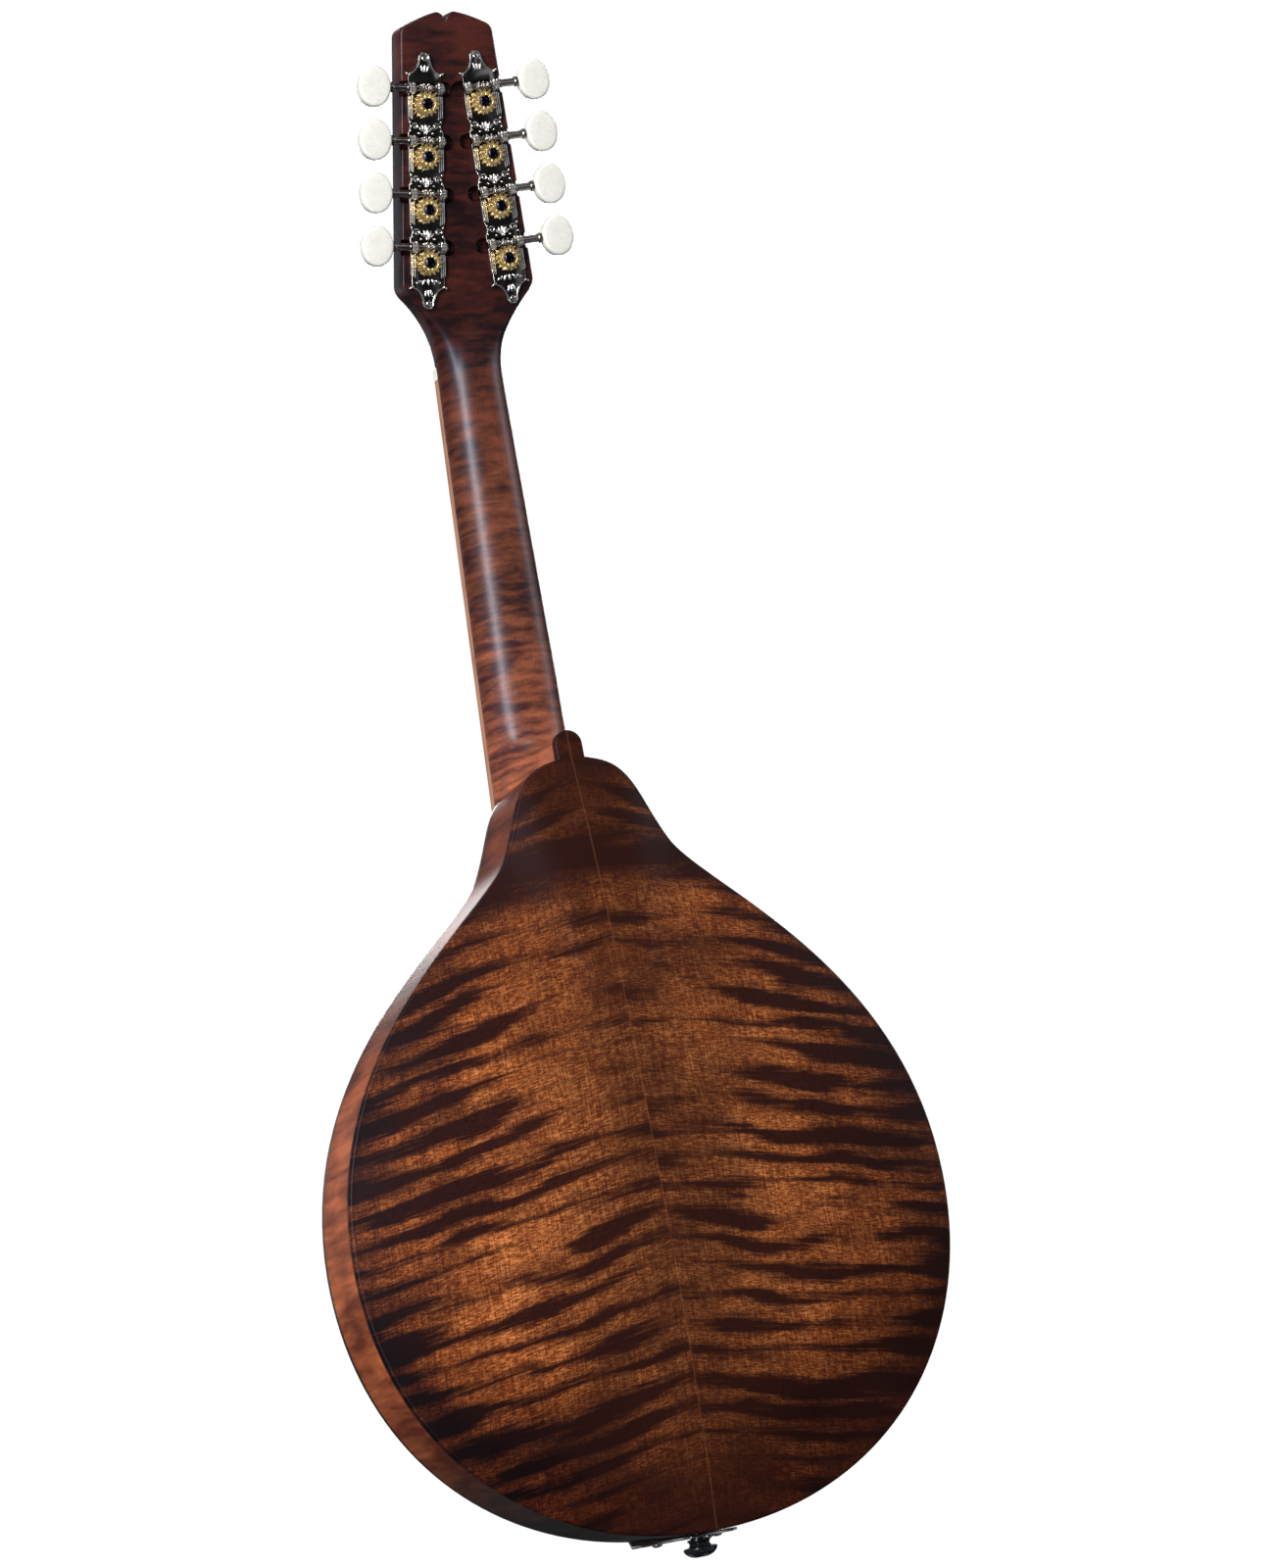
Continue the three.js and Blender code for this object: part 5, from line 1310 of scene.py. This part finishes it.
# ---------------------------------------------------------------- bridge

def soundboard_y(x, z):
    """The soundboard's outer face in the body frame, on the line of the bridge."""
    outline = whole_outline()
    centre = Vector((0, BRIDGE_Z))
    direction = Vector((x, z)) - centre
    if direction.length < 1:
        return -DEPTH - TOP_ARCH
    nearest = min((p - centre for p in outline), key=lambda p: abs(p.angle(direction)))
    return -DEPTH - TOP_ARCH * carving(1 - direction.length / nearest.length)


BASE_REACH, SADDLE_REACH = 56, 40
BASE_TOP_Y = soundboard_y(0, BRIDGE_Z) - 6.3
WHEEL_BACK_Y = BASE_TOP_Y - 1.8
WHEEL_FRONT_Y = WHEEL_BACK_Y - 3
SADDLE_BACK_Y = WHEEL_FRONT_Y - 0.2


def bridge_base():
    """The bridge's foot: arched along the soundboard, thick under the posts and thin at its tips."""
    rings = []
    for k in range(41):
        share = lerp(-1, 1, k / 40)
        x = share * BASE_REACH
        foot = soundboard_y(x, BRIDGE_Z) - 0.3
        shrink = smoothstep(abs(share), 0.55, 1.0)
        front = lerp(BASE_TOP_Y, foot - 2.2, shrink)
        width = lerp(11, 6, smoothstep(abs(share), 0.85, 1.0))
        section = []
        for a, y_share in ((-0.5, 0), (-0.5, 0.25), (-0.46, 0.6), (-0.38, 0.88), (-0.28, 1), (0, 1.0),
                           (0.28, 1), (0.38, 0.88), (0.46, 0.6), (0.5, 0.25), (0.5, 0), (0, 0)):
            section.append(Vector((x, lerp(foot, front, y_share), BRIDGE_Z + a * width)))
        rings.append(section)
    return loft(rings)


def threaded_stud(x):
    profile = [(1.75, BASE_TOP_Y + 1)]
    y = BASE_TOP_Y + 0.9
    while y > SADDLE_BACK_Y - 4:
        profile += [(2.0, y), (1.7, y - 0.3)]
        y -= 0.6
    return moved(lathe(profile, 20), (x, 0, BRIDGE_Z))


def thumbwheel(x):
    """A brass wheel with a knurled rim."""
    profile = ((WHEEL_BACK_Y, 5.3, 0), (WHEEL_BACK_Y - 0.3, 5.75, 0.2), (WHEEL_BACK_Y - 1.5, 5.85, 0.25),
               (WHEEL_FRONT_Y + 0.3, 5.75, 0.2), (WHEEL_FRONT_Y, 5.3, 0))
    rings = []
    for y, reach, knurl in profile:
        ring = []
        for a in circle(120):
            radius = reach + knurl * math.cos(30 * a)
            ring.append(Vector((x + radius * math.cos(a), y, BRIDGE_Z + radius * math.sin(a))))
        rings.append(ring)
    return loft(rings)


def saddle():
    """The compensated saddle: shallow steps under the four courses along its crest."""
    crest_y = (NECK.inverted() @ BODY).inverted() @ Vector((0, -4, -SCALE_LENGTH))
    front_y = crest_y.y + 0.05
    rings = []
    for k in range(61):
        x = lerp(-SADDLE_REACH, SADDLE_REACH, k / 60)
        reach = abs(x)
        top = lerp(front_y, SADDLE_BACK_Y - 3.8, smoothstep(reach, 25.5, 36))
        shift = 0.7 * math.sin(x / 12.2 * math.pi) * (1 - smoothstep(reach, 20, 26))
        half = lerp(0.7, 2.9, smoothstep(reach, 24, 34))
        foot = [(-3.25, SADDLE_BACK_Y), (-3.25, SADDLE_BACK_Y - 3), (-2.9, SADDLE_BACK_Y - 3.7)]
        crest = [(-half + shift, top + 0.25), (-half * 0.5 + shift, top), (half * 0.5 + shift, top),
                 (half + shift, top + 0.25)]
        section = foot + crest + [(-z, y) for z, y in reversed(foot)]
        rings.append([Vector((x, y, BRIDGE_Z + z)) for z, y in section])
    holes = [moved(lathe([(2.15, SADDLE_BACK_Y - 6.2), (2.15, SADDLE_BACK_Y + 3)], 24), (x, 0, BRIDGE_Z))
             for x in (-STUD_X, STUD_X)]
    return combine(loft(rings), holes, "DIFFERENCE")


def add_bridge():
    studs = [threaded_stud(x) for x in (-STUD_X, STUD_X)]
    piece("bridge_foot", moved(bridge_base(), BODY), BRIDGE_WOOD, "root", ["bridge_base"], "rosewood", 40)
    piece("bridge_studs", moved(joined(*studs), BODY), BRASS)
    piece("bridge_top_saddle", moved(saddle(), BODY), BRIDGE_WOOD, "bridge_top",
          ["bridge_saddle"], "rosewood", 40)
    for name, side in SIDES:
        piece(f"{name}_wheel", moved(thumbwheel(side * STUD_X), BODY), BRASS, f"{name}_wheel",
              [f"{name}_thumbwheel"], "gear_brass", 30)


# ---------------------------------------------------------------- tailpiece and end pin

def extruded(section, half_width):
    """A section in (z, y) given width along x."""
    return loft([[Vector((x, y, z)) for z, y in section] for x in (-half_width, half_width)])


def tailpiece():
    """A bent plate: its flange on the tail, narrowing below, and its tongue with a hook for each string."""
    inside = [(TAIL_END - 0.3, -8), (TAIL_END - 0.3, -49), (TAIL_END + 3, -52.3), (-276, -58.3)]
    outside = [(-276, -59.5), (TAIL_END + 2.5, -53.5), (TAIL_END - FLANGE, -49.5), (TAIL_END - FLANGE, -8)]
    hook = [(y, HOOK_Z - dz) for y, dz in ((-56.5, 2), (-58.5, 2), (-59.6, 1.6), (-60, 0.9))]
    hooks = []
    for i in range(8):
        x = TAIL_X * string_x(i, AT_BRIDGE)
        path = [Vector((x, y, z)) for y, z in hook]
        hooks.append(tube(path, 0.75, 10))
    cutters = []
    for side in (1, -1):
        prism = pillow([(side * 8, 0), (side * 30, 0), (side * 30, 46)], -5, 5)
        cutters.append(moved(prism, Matrix.Rotation(math.pi / 2, 4, "X"), (0, -6, TAIL_END)))
    cutters.append(moved(lathe([(3.8, TAIL_END - 5), (3.8, TAIL_END + 5)], 24, "Z"), (0, PIN_Y, 0)))
    return combine(combine(extruded(inside + outside, 21), hooks, "UNION"), cutters, "DIFFERENCE")


def cover_face(z):
    """Height of the cover's face over its slope, raised in a panel inside a flat border."""
    return 0.9 * smoothstep(z, -318, -315.5) * (1 - smoothstep(z, -274.5, -272))


def tail_cover():
    """The sprung cover: a folded shell open underneath, its corners cut and its face pressed up in a
    panel."""
    edge_z, front_z, edge_y, front_y = TAIL_END + 2.4, -268, -61, -68.3
    outer = [(TAIL_END - FLANGE, -51.6), (TAIL_END - FLANGE, -57), (edge_z, edge_y), (front_z, front_y),
             (front_z, -59.5), (-320, -53.5)]
    inner = [(TAIL_END - 0.6, -40), (TAIL_END - 0.6, -56.6), (edge_z + 0.4, -60), (-260, -67.2), (-260, -40)]
    front_corner = ((30, -260), (30, -280), (22.6, -276), (18.5, -270.5), (13, -267), (13, -260))
    tail_corner = ((30, -5), (30, 12), (22.6, 12), (21.6, 6), (18, 1), (14, -1.6), (14, -5))
    corners = []
    for side in (1, -1):
        corners.append(pillow([(side * x, z) for x, z in front_corner], -80, -40))
        corners.append(pillow([(side * x, TAIL_END + z) for x, z in tail_corner], -80, -40))
    shell = combine(extruded(outer, 22.5), [extruded(inner, 21.5), *corners], "DIFFERENCE")
    rings = []
    for k in range(25):
        z = lerp(-318, -272, k / 24)
        level = lerp(edge_y, front_y, (z - edge_z) / (front_z - edge_z))
        ring = []
        for x in [lerp(-19, 19, i / 24) for i in range(25)]:
            across = smoothstep(abs(x), 15.5, 18.5)
            ring.append(Vector((x, level + 0.2 - (0.2 + cover_face(z)) * (1 - across), z)))
        ring += [Vector((19, level + 0.5, z)), Vector((-19, level + 0.5, z))]
        rings.append(ring)
    return joined(shell, loft(rings))


def end_pin():
    """The end pin: a peg into the tail block, a collar, a waist and a domed head with a flat face."""
    peg_and_collar = [(3.0, 12), (3.3, 11.4), (3.4, -1.9), (4.9, -2.2), (5, -2.8)]
    waist = [(4.4, -3.4), (4.2, -4.2), (4.8, -5.2), (6.6, -5.5)]
    head = [(7.1, -5.7), (7.2, -6.1), (6.9, -7.0), (6.2, -7.9), (5.2, -8.7), (4.0, -9.25), (2.6, -9.6)]
    dimple = [(2.4, -9.2), (0.5, -9.1)]
    return lathe(peg_and_collar + waist + head + dimple, 48, "Z")


def add_tail():
    piece("tailpiece_plate", moved(tailpiece(), BODY), NICKEL, "root",
          ["tailpiece_base"], "nickel", 30, bevel=0.2)
    piece("tailpiece_lid", moved(tail_cover(), BODY), NICKEL, "tail_cover",
          ["tailpiece_cover"], "nickel", 30, bevel=0.5)
    facing_tail = Matrix.Rotation(-math.pi / 2, 4, "X")
    for i, (x, y) in enumerate(((-13.5, -38), (13.5, -38), (0, -12.5))):
        place = BODY @ Matrix.Translation((x, y, TAIL_END - FLANGE)) @ facing_tail
        piece(f"tailpiece_screw_{i + 1}", moved(TAIL_SCREW, place), DARK_STEEL)
    pin = moved(end_pin(), (0, PIN_Y, TAIL_END))
    piece("end_button", moved(pin, BODY), BLACK_PLASTIC, "root", ["end_pin"], "black_plastic", 40)


# ---------------------------------------------------------------- carried-over CAD nodes

KEPT_NODES = {
    "neck_block": BARE_WOOD,
    "tail_block": BARE_WOOD,
    "back_lining": BARE_WOOD,
    "top_lining": BARE_WOOD,
    "treble_tone_bar": BARE_WOOD,
    "bass_tone_bar": BARE_WOOD,
    "fingerboard": ROSEWOOD,
    "fingerboard_binding": IVORY,
    "nut": BONE,
    "truss_rod": DARK_STEEL,
    "truss_rod_nut": BRASS,
}


def finish_kept_nodes():
    for name, finish in KEPT_NODES.items():
        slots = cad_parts[name].data.materials
        slots.clear()
        slots.append(finish)


# ---------------------------------------------------------------- stage, light and camera

def add_stage():
    """A wide pale floor below the hanging instrument."""
    finish = Finish("floor_paint", Roughness=0.9, Emission_Color=(0.8, 0.8, 0.79, 1), Emission_Strength=0.6)
    patches = finish.noise((40, 40, 40), 2.0)
    finish.colour(finish.mix(patches, (0.80, 0.80, 0.79), (0.84, 0.84, 0.83)))
    mesh = bpy.data.meshes.new("floor")
    radius, level = 9, -1.7
    rim = [(radius * math.cos(a), radius * math.sin(a), level) for a in circle(36)]
    mesh.from_pydata(rim, [], [tuple(range(len(rim)))])
    mesh.materials.append(finish.material)
    floor = bpy.data.objects.new("floor", mesh)
    floor.visible_glossy = False
    floor.visible_diffuse = False
    bpy.context.scene.collection.objects.link(floor)
    floor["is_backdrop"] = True


def add_world():
    """A white surround for the eye, and a dim one with soft bright panels for light and reflections."""
    world = bpy.data.worlds.new("studio")
    bpy.context.scene.world = world
    world.use_nodes = True
    nodes, links = world.node_tree.nodes, world.node_tree.links
    nodes.clear()
    path = nodes.new("ShaderNodeLightPath")
    seen = nodes.new("ShaderNodeBackground")
    seen.inputs["Color"].default_value = (1, 1, 1, 1)
    seen.inputs["Strength"].default_value = 1.05
    direction = nodes.new("ShaderNodeTexCoord")
    panels = nodes.new("ShaderNodeTexNoise")
    panels.inputs["Scale"].default_value = 2.6
    panels.inputs["Detail"].default_value = 1
    contrast = nodes.new("ShaderNodeValToRGB")
    for element, place, colour in zip(contrast.color_ramp.elements, (0.56, 0.66),
                                      ((0.022, 0.023, 0.027, 1), (0.62, 0.65, 0.70, 1))):
        element.position = place
        element.color = colour
    fill = nodes.new("ShaderNodeBackground")
    mix = nodes.new("ShaderNodeMixShader")
    output = nodes.new("ShaderNodeOutputWorld")
    for socket, feeds in (
        (direction.outputs["Generated"], panels.inputs["Vector"]),
        (panels.outputs["Fac"], contrast.inputs[0]),
        (contrast.outputs[0], fill.inputs["Color"]),
        (path.outputs["Is Camera Ray"], mix.inputs[0]),
        (fill.outputs[0], mix.inputs[1]),
        (seen.outputs[0], mix.inputs[2]),
        (mix.outputs[0], output.inputs[0]),
    ):
        links.new(socket, feeds)


def area_light(name, place, target, size, power, colour=(1, 1, 1)):
    data = bpy.data.lights.new(name, "AREA")
    data.shape = "RECTANGLE"
    data.size, data.size_y = size
    data.energy = power
    data.color = colour
    lamp = bpy.data.objects.new(name, data)
    lamp.location = place
    lamp.rotation_euler = (Vector(target) - Vector(place)).to_track_quat("-Z", "Y").to_euler()
    bpy.context.scene.collection.objects.link(lamp)


def add_lights():
    middle = (0, 0, -0.2)
    area_light("key", (1.35, 1.45, 0.40), middle, (0.5, 1.1), 56, (1, 0.98, 0.95))
    area_light("low", (1.38, 1.44, -0.65), middle, (0.22, 0.7), 16, (0.75, 0.85, 1))
    area_light("side", (2.0, 0.1, 0.3), middle, (0.4, 1.6), 2, (0.85, 0.9, 1))
    area_light("rim", (-1.7, 0.5, 0.5), middle, (0.25, 1.4), 10, (0.92, 0.95, 1))
    area_light("top", (0.2, 0.6, 1.8), middle, (0.5, 0.5), 8)
    area_light("front", (-0.9, -2.2, 0.9), middle, (1.4, 1.2), 60)


def add_camera():
    """A camera behind and below the instrument, on its treble side, tilted a little."""
    place = Vector((0.5363, 1.5014, -0.5051))
    forward = Vector((-0.3516, -0.9167, 0.1898)).normalized()
    roughly_up = Vector((-0.1093, 0.2415, 0.9642))
    right = forward.cross(roughly_up).normalized()
    turned = Matrix((right, right.cross(forward), -forward)).transposed().to_4x4()
    data = bpy.data.cameras.new("camera")
    data.lens = 86.02
    data.clip_end = 60
    camera = bpy.data.objects.new("camera", data)
    camera.matrix_world = Matrix.Translation(place) @ turned
    bpy.context.scene.collection.objects.link(camera)
    bpy.context.scene.camera = camera


# ---------------------------------------------------------------- assembly

add_sound_box()
add_neck()
add_tuners()
add_strings()
add_bridge()
add_tail()
finish_kept_nodes()
add_stage()
add_world()
add_lights()
add_camera()
bpy.context.scene.view_settings.view_transform = "Standard"

sizes = {"cad": cad_box, "visual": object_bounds()}
{key: [list(corner) for corner in box] for key, box in sizes.items()}
